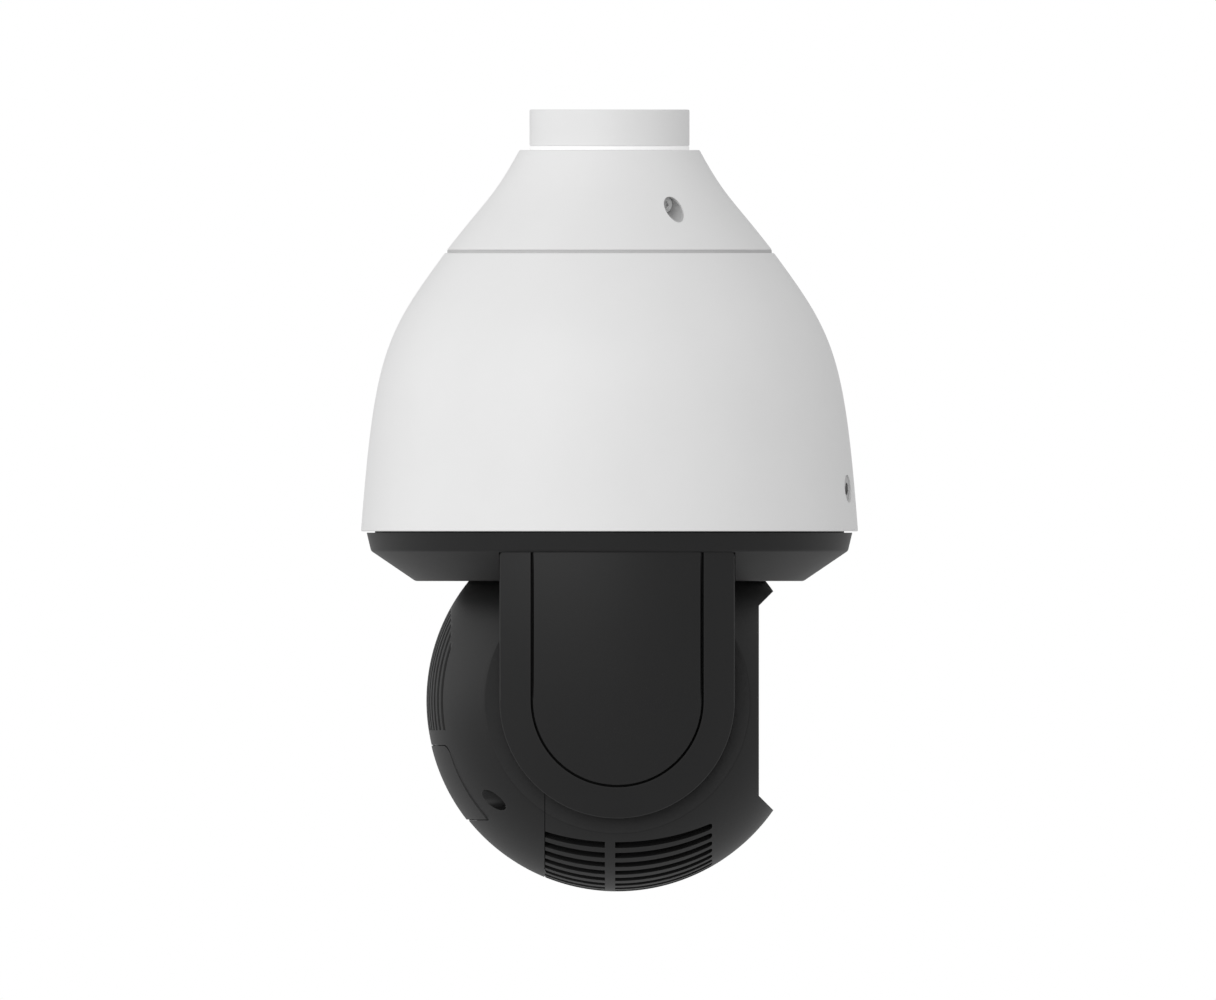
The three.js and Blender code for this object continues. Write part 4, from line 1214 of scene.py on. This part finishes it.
@dataclass
class PanYoke:
    """The turning disc and its two arms."""

    rim: float = 117.6
    waist: float = 115.4
    disc_top: float = -204.4
    disc_edge: float = 0.8
    chamfer_top: float = -213.6
    step_depth: float = 5.0
    step_drop: float = 0.35
    lip_radii: Span = (110.5, 113.5)
    lip_root: float = 3.0
    lip_height: float = 1.6
    foot: float = 93.9
    skin: float = 3.0
    hub: float = 24.0
    hub_span: Span = (-200.0, -187.0)
    wire_hole: tuple[Span, Span, Span] = ((-5.0, 5.0), (0.0, 30.0), (-190.6, -180.0))
    well_radius: float = 94.0
    well_half_width: float = 68.3
    arm_half_width: float = 56.9
    arm_near: float = 68.0
    arm_far: float = 118.0
    arm_reach: float = 114.2
    arm_depth: float = 191.1
    arm_corner: float = 2.6
    arm_fillet: float = 0.5
    arm_root: float = 1.0
    cover_half_width: float = 40.85
    cover_thick: float = 3.0
    cover_corner: float = 1.4
    cover_fillet: float = 0.6
    groove: float = 1.1
    groove_corner: float = 2.0
    pocket: float = 37.4
    pocket_drop: float = 5.4
    pocket_corner: float = 6.0
    pocket_floor: float = 72.0
    bearing_outer: float = 19.0
    bearing_seat: float = 23.0
    bearing_face: float = 76.0
    bearing_edge: float = 0.4
    bearing_cut: Span = (60.0, 80.0)
    cable_hole: float = 8.0
    cable_place: float = 90.0
    cable_cut: Span = (-222.0, -212.0)
    beyond: float = 130.0

    def __post_init__(self) -> None:
        """Reads the places of the tilt axis and of the disc and arms from the frame."""
        self.axis = pivot_of("tilt")
        base_low, base_high = corners_of("pan_base")
        self.base_span = (base_low.z, base_high.z)
        self.arm_top = corners_of("right_arm")[1].z

    def build(self) -> None:
        """Builds the disc, the arms and their covers."""
        self.pan_base().finish("turning_disc", BLACK_PAINT, Body.YOKE, ["pan_base"])
        for side in Side:
            self.yoke_arm(side).finish(f"{side.word}_yoke_arm", BLACK_PAINT, Body.YOKE, [f"{side.word}_arm"])
            cover = self.arm_cover(side)
            cover.finish(f"{side.word}_drive_cover", BLACK_PAINT, Body.YOKE, [f"{side.word}_arm_cover"])

    def well_ball(self, extra: float) -> Solid:
        """The room that the head turns in, or that room with a wall round it."""
        return flat_ball(self.well_radius + extra, self.well_half_width + extra).moved(self.axis)

    def disc(self, inset: float, top: float, bottom: float) -> Solid:
        """The disc's solid form, or its tray a distance inside the skin."""
        outline = [
            (0, top), (self.rim - inset, top), (self.waist - inset, self.chamfer_top + inset / 3),
            (self.foot - inset / 3, bottom), (0, bottom),
        ]
        return Solid.turned(outline)

    def arm_room(self, side: Side, reach: float, near: float, top: float) -> Solid:
        """A block round one arm's head, in the edge of the disc."""
        across = (self.axis.x - reach, self.axis.x + reach)
        return Solid.block(across, side.span(near, self.arm_far + 2), (self.base_span[0] - 12, top))

    def pan_base(self) -> Solid:
        """The black disc: a tray with a round well for the head and a seat for each arm."""
        bottom, top = self.base_span[0], self.disc_top
        disc = self.disc(0, top, bottom).softened(self.disc_edge, 3)
        disc.cut(Solid.ring(self.rim - self.step_depth, self.rim + 2, (top - self.step_drop, top + 1)))
        body = disc.copy().cut(self.disc(self.skin, top + 4, bottom + self.skin))
        body.joined(Solid.ring(*self.lip_radii, (top - self.lip_root, top + self.lip_height), steps=FINE))
        everywhere = (-self.beyond, self.beyond)
        roof = self.well_ball(self.skin).cut(Solid.block(everywhere, everywhere, (-400, bottom)))
        half, near = self.arm_half_width + self.skin, self.arm_near - self.skin
        seats = [self.arm_room(side, half, near, self.arm_top + GAP + self.skin).kept(disc) for side in Side]
        body.joined(roof, Solid.ring(0, self.hub, self.hub_span), *seats)
        rooms = [
            self.arm_room(side, self.arm_half_width + GAP, self.arm_near - GAP, self.arm_top + GAP)
            for side in Side
        ]
        return body.cut(self.well_ball(0), *rooms, Solid.block(*self.wire_hole))

    def arch(self, half_width: float, top: float, corner: float) -> Outline:
        """An arched outline: straight sides down to the tilt axis and a half circle below it."""
        across = (self.axis.x - half_width, self.axis.x + half_width)
        up = (self.axis.z - half_width, top)
        return Outline.rounded(across, up, (half_width, half_width, corner, corner), 32)

    def arm_surface(self, inset: float = 0.0) -> Callable[[float, float], float]:
        """The arms' rounded outer surface, about the pan axis.

        Args:
            inset: how far inside it the wanted surface is.

        Returns:
            A function that gives y for an x and z.
        """

        def surface(x: float, z: float) -> float:
            """The surface's y."""
            drop = max(self.arm_top - z, 0.0)
            radius = self.arm_reach * math.sqrt(1 - (drop / self.arm_depth) ** 2) - inset
            return math.sqrt(max(radius * radius - x * x, 1.0))

        return surface

    def yoke_arm(self, side: Side) -> Solid:
        """One arm: a shallow box for the drive, open on its outer side under its cover."""
        arm = Solid.panel(
            self.arch(self.arm_half_width, self.arm_top + self.arm_root, self.arm_corner),
            self.arm_surface(), lambda x, z: self.arm_near, self.arm_fillet,
        )
        rebate_half, rebate_top = self.cover_half_width + self.groove, self.arm_top + self.arm_root + 2
        rebate = Solid.panel(
            self.arch(rebate_half, rebate_top, self.groove_corner),
            lambda x, z: self.arm_far + 4, self.arm_surface(self.cover_thick + GAP),
        )
        pocket = self.arch(self.pocket, self.arm_top - self.pocket_drop, self.pocket_corner)
        arm.cut(rebate, Solid.slab(pocket, Axis.Y, (self.pocket_floor, self.arm_far)))
        place, bearing = (self.axis.x, 0, self.axis.z), self.bearing_outer + GAP
        bore = Solid.ring(0, bearing, self.bearing_cut, Axis.Y).moved(place)
        seat = Solid.ring(bearing, self.bearing_seat, (self.arm_near, self.bearing_face), Axis.Y)
        arm.cut(bore).joined(seat.softened(self.bearing_edge).moved(place))
        ends = [Vector((self.axis.x, self.cable_place, height)) for height in self.cable_cut]
        return arm.cut(Solid.rod(self.cable_hole, *ends)).on_side(side)

    def arm_cover(self, side: Side) -> Solid:
        """The inset cover that closes an arm."""
        cover = Solid.panel(
            self.arch(self.cover_half_width, self.arm_top + self.arm_root, self.cover_corner),
            self.arm_surface(), self.arm_surface(self.cover_thick), self.cover_fillet,
        )
        return cover.on_side(side)


# ---------------------------------------------------------------------------------------------------------
# The head that tilts
# ---------------------------------------------------------------------------------------------------------


def flat_ball(radius: float, half_width: float, steps: int = FINE, arc: int = 40) -> Solid:
    """A ball about Y cut flat on both sides.

    Args:
        radius: the ball's radius.
        half_width: how far each flat is from the middle.
        steps: the steps round Y.
        arc: the steps from flat to flat.

    Returns:
        The solid.
    """
    lean = math.asin(half_width / radius)
    rim = [
        (radius * math.cos(lean * (2 * step / arc - 1)), radius * math.sin(lean * (2 * step / arc - 1)))
        for step in range(arc + 1)
    ]
    return Solid.turned([(0, -half_width), *rim, (0, half_width)], Axis.Y, steps)


@dataclass
class CameraHead:
    """The two black shells with their fins, slots, visor lips and hatch."""

    radius: float = 92.3
    half_width: float = 66.1
    edge: float = 0.5
    skin: float = 3.0
    seam: float = -35.0
    seam_gap: float = 0.4
    seal_thick: float = 3.0
    seal_reach: Span = (-2.0, 2.2)
    seal_sunk: float = 0.45
    face: float = 68.6
    face_wall: float = 6.0
    channel: float = 46.0
    flare: float = 30.0
    fins: int = 16
    fin_pitch: float = 4.84
    fin_groove: float = 2.6
    fin_floor: float = -80.5
    fin_corner: float = 1.2
    fin_span: Span = (-14.3, 60.0)
    slots: int = 17
    slot_turn: float = 5.1
    slot_width: float = 4.5
    slot_rib: Span = (-5.9, -1.0)
    slot_end: float = 46.0
    slot_corners: Span = (0.25, 1.6)
    slot_depth: float = 18.3
    filter_thick: float = 1.2
    filter_top: float = -54.0
    hatch_half_width: float = 36.7
    hatch_span: Span = (-57.5, -21.8)
    hatch_corners: Span = (1.5, 4.5)
    hatch_cut: Span = (-110.0, -50.0)
    hatch_droop: float = 0.9
    hatch_thick: float = 1.5
    hatch_gap: float = 0.4
    hatch_shelf: float = 4.2
    hatch_frame_half: float = 41.0
    hatch_frame_edge: float = 4.5
    hatch_frame_depth: float = 6.0
    hatch_seal_edges: Span = (0.4, 4.0)
    hatch_seal_depths: Span = (1.8, 2.7)
    hatch_lip_edges: Span = (-0.37, 0.03)
    screw_place: Span = (51.0, -48.0)
    screw_hole: float = 4.95
    screw_seat: float = -50.0
    screw_end: float = -25.0
    screw_boss: float = 7.5
    screw_boss_span: Span = (-75.0, -44.0)
    pillar: float = 5.0
    pillar_span: Span = (-32.5, -20.0)
    pillar_rib: float = 1.5
    thread_hole: float = 2.3
    window_radius: float = 54.0
    window_half_height: float = 38.0
    window_back: float = 65.4
    window_lip: float = 3.5
    gasket_room: float = 1.3
    shaft: float = 12.0
    beside: float = 80.0
    beyond: float = 100.0

    def __post_init__(self) -> None:
        """Reads the tilt axis from the frame."""
        self.centre = pivot_of("tilt")

    def build(self) -> None:
        """Builds every piece of the head's outside."""
        ball = flat_ball(self.radius, self.half_width, *SMOOTH_BALL).softened(self.edge, 3)
        room = self.room()
        self.place(self.front_shell(ball, room), "face_shell", BLACK_PAINT, "front_shell")
        self.place(self.rear_shell(ball, room), "finned_shell", BLACK_PAINT, "rear_shell")
        self.place(self.rear_hatch(), "service_hatch", BLACK_PAINT, "rear_hatch")
        self.place(self.hatch_seal(), "hatch_lip_seal", SEAM_RUBBER, "hatch_seal")
        self.place(self.shell_seal(), "shell_joint_seal", SEAM_RUBBER, "shell_seal")
        self.place(self.vent_filter(), "vent_filter", FILTER_FOAM)
        for side in Side:
            name, node = f"{side.word}_shell_cap_screw", f"{side.word}_shell_screw"
            self.place(self.shell_screw(side), name, STEEL, node)

    def place(self, solid: Solid, name: str, finish: Finish, *nodes: str) -> None:
        """Moves a solid from the tilt centre to its place and finishes it."""
        solid.moved(self.centre).finish(name, finish, Body.HEAD, nodes)

    def between(self, low: float, high: float) -> Solid:
        """A block that holds all of the head between two places along X."""
        return Solid.block((low, high), (-self.beside, self.beside), (-self.beyond, self.beyond))

    def screw_point(self, side: Side, x: float) -> Vector:
        """The point at x on a shell screw's axis."""
        return Vector((x, side.value * self.screw_place[0], self.screw_place[1]))

    def screw_rod(self, side: Side, radius: float, start: float, end: float) -> Solid:
        """A rod on a shell screw's axis."""
        return Solid.rod(radius, self.screw_point(side, start), self.screw_point(side, end), BORE)

    def shell_screw(self, side: Side) -> Solid:
        """A screw that holds the shells together, deep in its recess."""
        screw = SocketScrew(head_radius=4.2, head_height=3.6)
        under = self.screw_seat - GAP
        return screw.solid(
            lambda x: self.screw_point(side, x), under - screw.head_height, under, self.screw_end
        )

    def room(self) -> Solid:
        """The room inside the head, with a frame left round the hatch."""
        room = flat_ball(self.radius - self.skin, self.half_width - self.skin, *HIDDEN_BALL)
        room.kept(self.between(self.fin_floor + self.skin, self.face - self.face_wall))
        low, high = self.hatch_span
        across = (-self.hatch_frame_half, self.hatch_frame_half)
        up = (low - self.hatch_frame_edge, high + self.hatch_frame_edge)
        hatch_frame = Solid.block((-self.beyond, self.hatch_cut[1]), across, up)
        inside = flat_ball(self.radius - self.hatch_frame_depth, self.half_width, *HIDDEN_BALL)
        return room.cut(hatch_frame.cut(inside))

    def face_channel(self) -> Solid:
        """What is cut from the front of the ball, to leave a flat face between two flared lips."""
        far, wide = self.face + self.flare, self.channel + self.flare
        outline = Outline([(self.face, -self.channel), (far, -wide), (far, wide), (self.face, self.channel)])
        return Solid.slab(outline, Axis.Y, (-self.beside, self.beside))

    def vent_slots(self) -> Solid:
        """All the slots of the underside: two rows with a rib between them."""
        slots = Solid()
        square, rounded = self.slot_corners
        rows = ((self.seam - 4, self.slot_rib[0], square), (self.slot_rib[1], self.slot_end, rounded))
        for number in range(self.slots):
            turn = self.slot_turn * (number - (self.slots - 1) / 2)
            for start, end, corner in rows:
                width = (-self.slot_width / 2, self.slot_width / 2)
                outline = Outline.rounded((start, end), width, (square, corner, corner, square), 4)
                slot = Solid.slab(outline, Axis.Z, (-self.radius - 4, -self.radius + self.slot_depth))
                slots.with_loose(slot.rotated(turn, Axis.X))
        return slots

    def window_slab(self, shrink: float, along: Span) -> Solid:
        """A slab of the window's shape, a distance inside or outside its edge."""
        outline = Outline.flat_sided_disc(self.window_radius - shrink, self.window_half_height - shrink)
        return Solid.slab(outline, Axis.X, along)

    def front_shell(self, ball: Solid, room: Solid) -> Solid:
        """The front half, with the face, the lips, the window's rebate and the slots."""
        shell = ball.copy().kept(self.between(self.seam + self.seam_gap / 2, self.beyond))
        shell.cut(self.face_channel(), room)
        shell.cut(
            self.window_slab(-GAP, (self.window_back - self.gasket_room, self.face + 1)),
            self.window_slab(self.window_lip, (50, self.face + 1)),
            Solid.ring(0, self.shaft + GAP, (-self.beside, self.beside), Axis.Y),
            self.vent_slots(),
        )
        out, height = self.screw_place
        pillars = []
        for side in Side:
            thick = (height - self.pillar_rib, height + self.pillar_rib)
            rib = Solid.block(self.pillar_span, side.span(out, self.half_width - 2), thick)
            pillars.append(self.screw_rod(side, self.pillar, *self.pillar_span).joined(rib))
        shell.joined(*pillars)
        return shell.cut(*[self.screw_rod(side, self.thread_hole, -40, self.screw_end + 1) for side in Side])

    def fin_grooves(self) -> Solid:
        """The cooling grooves down the back, each with rounded lower corners."""
        grooves = Solid()
        for number in range(self.fins):
            middle = self.fin_pitch * (number - (self.fins - 1) / 2)
            half = self.fin_groove / 2
            corners = (0, self.fin_corner, self.fin_corner, 0)
            outline = Outline.rounded((-self.beyond, self.fin_floor), self.fin_span, corners, 4)
            grooves.with_loose(Solid.slab(outline, Axis.Y, (middle - half, middle + half)))
        return grooves

    def hatch_slab(self, inset: float) -> Solid:
        """A slab of the hatch's outline, a distance inside its edge."""
        side = self.hatch_half_width - inset
        low, high = self.hatch_span
        lower, upper = self.hatch_corners
        outline = Outline.rounded((-side, side), (low + inset, high - inset), (lower, lower, upper, upper), 8)
        return Solid.slab(outline, Axis.X, self.hatch_cut)

    def rear_shell(self, ball: Solid, room: Solid) -> Solid:
        """The back half, with the fins, the hatch's frame and the two screw recesses."""
        shell = ball.copy().kept(self.between(-self.beyond, self.seam - self.seam_gap / 2))
        shell.cut(room)
        bosses = [self.screw_rod(side, self.screw_boss, *self.screw_boss_span) for side in Side]
        shell.joined(*[boss.kept(ball) for boss in bosses])
        shell.cut(self.fin_grooves())
        for side in Side:
            shell.cut(
                self.screw_rod(side, self.screw_hole, -self.beyond, self.screw_seat),
                self.screw_rod(side, self.thread_hole, self.screw_seat - 1, -40),
            )
        rebate = self.hatch_slab(-self.hatch_gap).cut(flat_ball(self.radius - self.skin, self.half_width))
        return shell.cut(rebate, self.hatch_slab(self.hatch_shelf))

    def vent_filter(self) -> Solid:
        """The thin curved dust filter that lines the shell above its slots."""
        outer = self.radius - self.skin - GAP
        sheet = flat_ball(outer, self.half_width - self.skin - GAP, *HIDDEN_BALL)
        sheet.cut(flat_ball(outer - self.filter_thick, self.half_width, *HIDDEN_BALL))
        across, up = (-self.beside, self.beside), (-self.beyond, self.filter_top)
        return sheet.kept(Solid.block((self.seam + 2.1, self.slot_end + 4), across, up))

    def shell_seal(self) -> Solid:
        """The rubber ring between the shells: a strip inside them and a thin fin that fills their joint."""
        inner = self.radius - self.skin - self.seal_thick
        strip = flat_ball(self.radius - self.skin - GAP, self.half_width - self.skin - GAP, *HIDDEN_BALL)
        strip.cut(flat_ball(inner, self.half_width - self.skin - self.seal_thick, *HIDDEN_BALL))
        behind, ahead = self.seal_reach
        strip.kept(self.between(self.seam + behind, self.seam + ahead))
        fin = flat_ball(self.radius - self.seal_sunk, self.half_width - self.seal_sunk)
        fin.cut(flat_ball(inner + 0.5, self.half_width - 5, *HIDDEN_BALL))
        half = self.seam_gap / 2 - HAIR
        return strip.joined(fin.kept(self.between(self.seam - half, self.seam + half)))

    def hatch_seal(self) -> Solid:
        """The rubber seal under the hatch's edge, with a lip that fills the gap round it."""
        above, below = self.hatch_seal_depths
        under = flat_ball(self.radius - below, self.half_width, *SEALED_BALL)
        (flat_out, flat_in), (lip_out, lip_in) = self.hatch_seal_edges, self.hatch_lip_edges
        flat = self.hatch_slab(flat_out).kept(flat_ball(self.radius - above, self.half_width, *SEALED_BALL))
        flat.cut(self.hatch_slab(flat_in), under)
        lip = self.hatch_slab(lip_out).kept(flat_ball(self.radius - self.hatch_gap, self.half_width))
        return lip.cut(self.hatch_slab(lip_in), under).with_loose(flat)

    def rear_hatch(self) -> Solid:
        """The hatch, its lower edge a little proud of the ball."""
        outside = flat_ball(self.radius, self.half_width, *SMOOTH_BALL).moved((0, 0, -self.hatch_droop))
        inside = flat_ball(self.radius - self.hatch_thick, self.half_width)
        return self.hatch_slab(0).kept(outside).cut(inside)


@dataclass
class FrontOptics:
    """What is behind and round the flat window."""

    window_sunk: float = 0.2
    window_edge: float = 0.5
    lens_radius: float = 26.0
    lens_bore: float = 23.0
    lens_wall: float = 1.5
    lens_span: Span = (12.3, 58.7)
    lens_ring: float = 8.0
    ridge_start: float = 12.0
    ridge_pitch: float = 1.6
    ridge_depth: float = 0.8
    ridges: int = 12
    glass_radius: float = 22.6
    front_glass: Span = (50.0, 53.0)
    zoom_glass: Span = (15.0, 22.0)
    mask_radius: float = 52.0
    mask_half_height: float = 38.0
    mask_span: Span = (59.5, 61.5)
    mask_cut: Span = (50.0, 70.0)
    mask_slot_half: Span = (7.5, 19.5)
    mask_slot_corner: float = 5.0
    board_half: Span = (10.0, 21.0)
    board_corner: float = 2.0
    board_span: Span = (54.0, 55.6)
    chip_half: float = 1.7
    chip_thick: float = 0.8
    lamp_place: float = 39.0
    lamp_pitch: float = 13.0
    lamp_radius: float = 6.0
    lamp_steps: int = 40
    lamps: int = 3

    def __post_init__(self) -> None:
        """Reads the tilt axis from the frame."""
        self.centre = pivot_of("tilt")
        self.head = CameraHead()

    def build(self) -> None:
        """Builds the window, its gasket, the mask, the lamps and the lens."""
        back, front = self.head.window_back, self.head.face - self.window_sunk
        window = self.head.window_slab(0, (back, front)).softened(self.window_edge, 3)
        self.place(window, "flat_window", WINDOW_GLASS, Body.HEAD, "front_window")
        gasket = self.head.window_slab(0, (back - 1, back - self.window_sunk))
        gasket.cut(self.head.window_slab(self.head.window_lip - 1, self.mask_cut))
        self.place(gasket, "window_seal", SEAL_RUBBER, Body.HEAD, "window_gasket")
        self.place(self.mask(), "optics_mask", BLACK_PLASTIC, Body.HEAD, "lens_mask")
        self.place(self.barrel(), "lens_tube", BLACK_PLASTIC, Body.HEAD, "lens_barrel")
        self.place(self.element(self.front_glass, 3), "front_element", LENS_GLASS, Body.HEAD, "front_lens")
        self.place(self.element(self.zoom_glass, 2), "zoom_element", LENS_GLASS, Body.ZOOM, "zoom_group")
        for side in Side:
            name, node = f"{side.word}_lamp_plate", f"{side.word}_lamp_board"
            self.place(self.lamp_board(side), name, CIRCUIT_BOARD, Body.HEAD, node)
            self.place(self.lamp_lenses(side), f"{side.word}_lamp_lenses", WINDOW_GLASS, Body.HEAD)
            self.place(self.lamp_cups(side), f"{side.word}_lamp_cups", ALUMINIUM, Body.HEAD)

    def place(self, solid: Solid, name: str, finish: Finish, body: Body, *nodes: str) -> None:
        """Moves a solid from the tilt centre to its place and finishes it."""
        solid.moved(self.centre).finish(name, finish, body, nodes)

    def mask(self) -> Solid:
        """The black mask, with a bevelled ring for the lens and a window for each lamp column."""
        outline = Outline.flat_sided_disc(self.mask_radius, self.mask_half_height)
        mask = Solid.slab(outline, Axis.X, self.mask_span).softened(0.3)
        mask.cut(Solid.ring(0, self.lens_radius + self.lens_wall, self.mask_cut, Axis.X))
        half_across, half_up = self.mask_slot_half
        for side in Side:
            across = side.span(self.lamp_place - half_across, self.lamp_place + half_across)
            slot = Outline.rounded(across, (-half_up, half_up), (self.mask_slot_corner,) * 4)
            mask.cut(Solid.slab(slot, Axis.X, self.mask_cut))
        return mask

    def barrel(self) -> Solid:
        """The lens tube, with its front ring and the ridges inside that stop stray light."""
        back, front = self.lens_span
        bore, slim = self.lens_bore, self.lens_radius - self.lens_wall
        wide = bore + self.ridge_depth
        ridges = []
        for number in range(self.ridges):
            place, quarter = back + self.ridge_start + number * self.ridge_pitch, self.ridge_pitch / 4
            ridges += [(bore, place), (wide, place + quarter), (bore, place + 2 * quarter)]
        ring = front - self.lens_ring
        outline = [
            (bore, back), *ridges, (bore, front - self.ridge_depth), (wide, front),
            (self.lens_radius, front), (self.lens_radius, ring), (slim, ring), (slim, back),
        ]
        tube = Solid.turned(outline, Axis.X, MEDIUM)
        return tube.softened(0.4, 2, where=lambda middle: middle.x > ring - 1)

    def element(self, along: Span, bulge: float) -> Solid:
        """A round lens with a curved front."""
        back, front = along
        radius, steps = self.glass_radius, 20
        angles = [0.5 * math.pi * step / steps for step in range(steps)]
        curve = [(radius * math.cos(angle), front + bulge * math.sin(angle)) for angle in angles]
        return Solid.turned([(0, back), (radius, back), *curve, (0, front + bulge)], Axis.X, MEDIUM)

    def lamp_heights(self) -> list[float]:
        """The height of each lamp in a column."""
        return [self.lamp_pitch * (number - (self.lamps - 1) / 2) for number in range(self.lamps)]

    def lamp_board(self, side: Side) -> Solid:
        """A board with a square lamp chip under each lens."""
        half_across, half_up = self.board_half
        across = side.span(self.lamp_place - half_across, self.lamp_place + half_across)
        outline = Outline.rounded(across, (-half_up, half_up), (self.board_corner,) * 4)
        board = Solid.slab(outline, Axis.X, self.board_span)
        middle, half, face = side.value * self.lamp_place, self.chip_half, self.board_span[1]
        chips = [
            Solid.block((face, face + self.chip_thick), (middle - half, middle + half), (z - half, z + half))
            for z in self.lamp_heights()
        ]
        return board.with_loose(*chips)

    def lamp_lenses(self, side: Side) -> Solid:
        """The clear lens over each lamp, flat at its rim and domed in the middle."""
        lenses = Solid()
        outline = [
            (0, 57.2), (3.0, 57.2), (5.5, 58.2), (5.6, 59.0),
            (4.2, 59.4), (3.2, 60.1), (1.7, 60.7), (0, 60.8),
        ]
        for z in self.lamp_heights():
            lens = Solid.turned(outline, Axis.X, self.lamp_steps)
            lenses.with_loose(lens.moved((0, side.value * self.lamp_place, z)))
        return lenses

    def lamp_cups(self, side: Side) -> Solid:
        """The bright cup round each lamp."""
        cups = Solid()
        outline = [(2.6, 55.7), (3.3, 55.7), (self.lamp_radius, 59.2), (self.lamp_radius - 0.4, 59.2)]
        for z in self.lamp_heights():
            cup = Solid.turned(outline, Axis.X, self.lamp_steps)
            cups.with_loose(cup.moved((0, side.value * self.lamp_place, z)))
        return cups


class InnerWorks:
    """The frame's own pieces that stay as they are and get their finish."""

    def build(self) -> None:
        """Gives every frame node that still shows the finish that its name asks for."""
        for name, node in sorted(frame["nodes"].items()):
            if node.hide_render:
                continue
            finish = self.finish_for(name)
            node.data.materials.clear()
            node.data.materials.append(finish.material())
            log.info("%s: kept, finish %s", name, finish.name)

    @staticmethod
    def finish_for(name: str) -> Finish:
        """The finish of a node that stays.

        Args:
            name: the node's name.

        Returns:
            Its finish.
        """
        rules = (
            (("board",), CIRCUIT_BOARD),
            (("belt", "seal", "gasket"), SEAL_RUBBER),
            (("chassis_plate", "bracket"), ALUMINIUM),
            (("post", "shaft", "bearing", "socket", "motor_pulley", "rotor", "screw"), STEEL),
            (("focus", "filter", "zoom", "lens"), LENS_GLASS),
        )
        if name == "fan_rotor":
            return BLACK_PLASTIC
        return next((finish for words, finish in rules if any(word in name for word in words)), BLACK_PLASTIC)


# ---------------------------------------------------------------------------------------------------------
# The studio
# ---------------------------------------------------------------------------------------------------------


@dataclass
class Studio:
    """A pale floor, soft lights and the camera."""

    frame_width: float = 0.58842
    aim: Span = (-0.00073, 0.00024)
    distance: float = 2.0
    floor_drop: float = 0.8
    floor_half: float = 60.0
    ambient: float = 0.575
    backdrop: float = 1.0

    def __post_init__(self) -> None:
        """Reads the object's box from the frame."""
        self.low, self.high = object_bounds()
        self.middle = (self.low + self.high) / 2

    def build(self) -> None:
        """Builds the camera, the lights and the floor."""
        self.camera()
        self.world()
        self.floor()
        self.light("key", azimuth=-25.0, elevation=15.0, spread=60.0, strength=1.07)
        self.light("left_fill", azimuth=-95.0, elevation=5.0, spread=60.0, strength=0.47)

    def camera(self) -> None:
        """The camera: level, square to the side, with no perspective."""
        data = bpy.data.cameras.new("side_camera")
        data.type = "ORTHO"
        data.ortho_scale = self.frame_width
        camera = bpy.data.objects.new("side_camera", data)
        camera.location = (self.aim[0], -self.distance, self.middle.z + self.aim[1])
        camera.rotation_euler = (math.radians(90), 0, 0)
        bpy.context.scene.collection.objects.link(camera)
        bpy.context.scene.camera = camera

    def world(self) -> None:
        """A white backdrop for the camera and a softer grey for what lights the object."""
        world = bpy.data.worlds.new("studio")
        world.use_nodes = True
        bpy.context.scene.world = world
        sheet = NodeSheet(world.node_tree)
        background = world.node_tree.nodes["Background"]
        path = sheet.node("LightPath")
        strength = sheet.between(path.outputs["Is Camera Ray"], self.ambient, self.backdrop)
        sheet.set(background, Color=(1.0, 1.0, 1.0, 1.0), Strength=strength)
        bpy.context.scene.view_settings.view_transform = "Standard"

    def floor(self) -> None:
        """A plain pale floor below the object."""
        mesh = bmesh.new()
        bmesh.ops.create_grid(mesh, x_segments=1, y_segments=1, size=self.floor_half)
        data = bpy.data.meshes.new("floor")
        mesh.to_mesh(data)
        floor = bpy.data.objects.new("floor", data)
        floor.location.z = self.low.z - self.floor_drop
        bpy.context.scene.collection.objects.link(floor)
        finish = Finish(
            "pale_floor", Slot.WHITE_PAINT, (0.8, 0.8, 0.8), (0.82, 0.82, 0.82),
            roughness=(0.7, 0.8), relief=0.0,
        )
        data.materials.append(finish.material())
        floor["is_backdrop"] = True

    def light(self, name: str, azimuth: float, elevation: float, spread: float, strength: float) -> None:
        """A soft light from far away, so that it falls evenly on the object and the floor.

        Args:
            name: the light's name.
            azimuth: where it stands, in degrees from the camera's side towards +X.
            elevation: how high it stands, in degrees above the horizon.
            spread: how wide it looks from the object, in degrees.
            strength: its strength in watts for each square metre.
        """
        data = bpy.data.lights.new(name, "SUN")
        data.angle = math.radians(spread)
        data.energy = strength
        light = bpy.data.objects.new(name, data)
        turn, rise = math.radians(azimuth), math.radians(elevation)
        place = Vector((math.sin(turn) * math.cos(rise), -math.cos(turn) * math.cos(rise), math.sin(rise)))
        light.location = self.middle + place * self.distance
        light.rotation_euler = (-place).to_track_quat("-Z", "Y").to_euler()
        bpy.context.scene.collection.objects.link(light)


def main() -> None:
    """Builds the studio, then each sub-assembly."""
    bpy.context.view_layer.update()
    for part in (Studio(), CeilingHousing(), PanYoke(), CameraHead(), FrontOptics(), InnerWorks()):
        log.info("building %s", type(part).__name__)
        part.build()


if __name__ == "__main__":
    main()
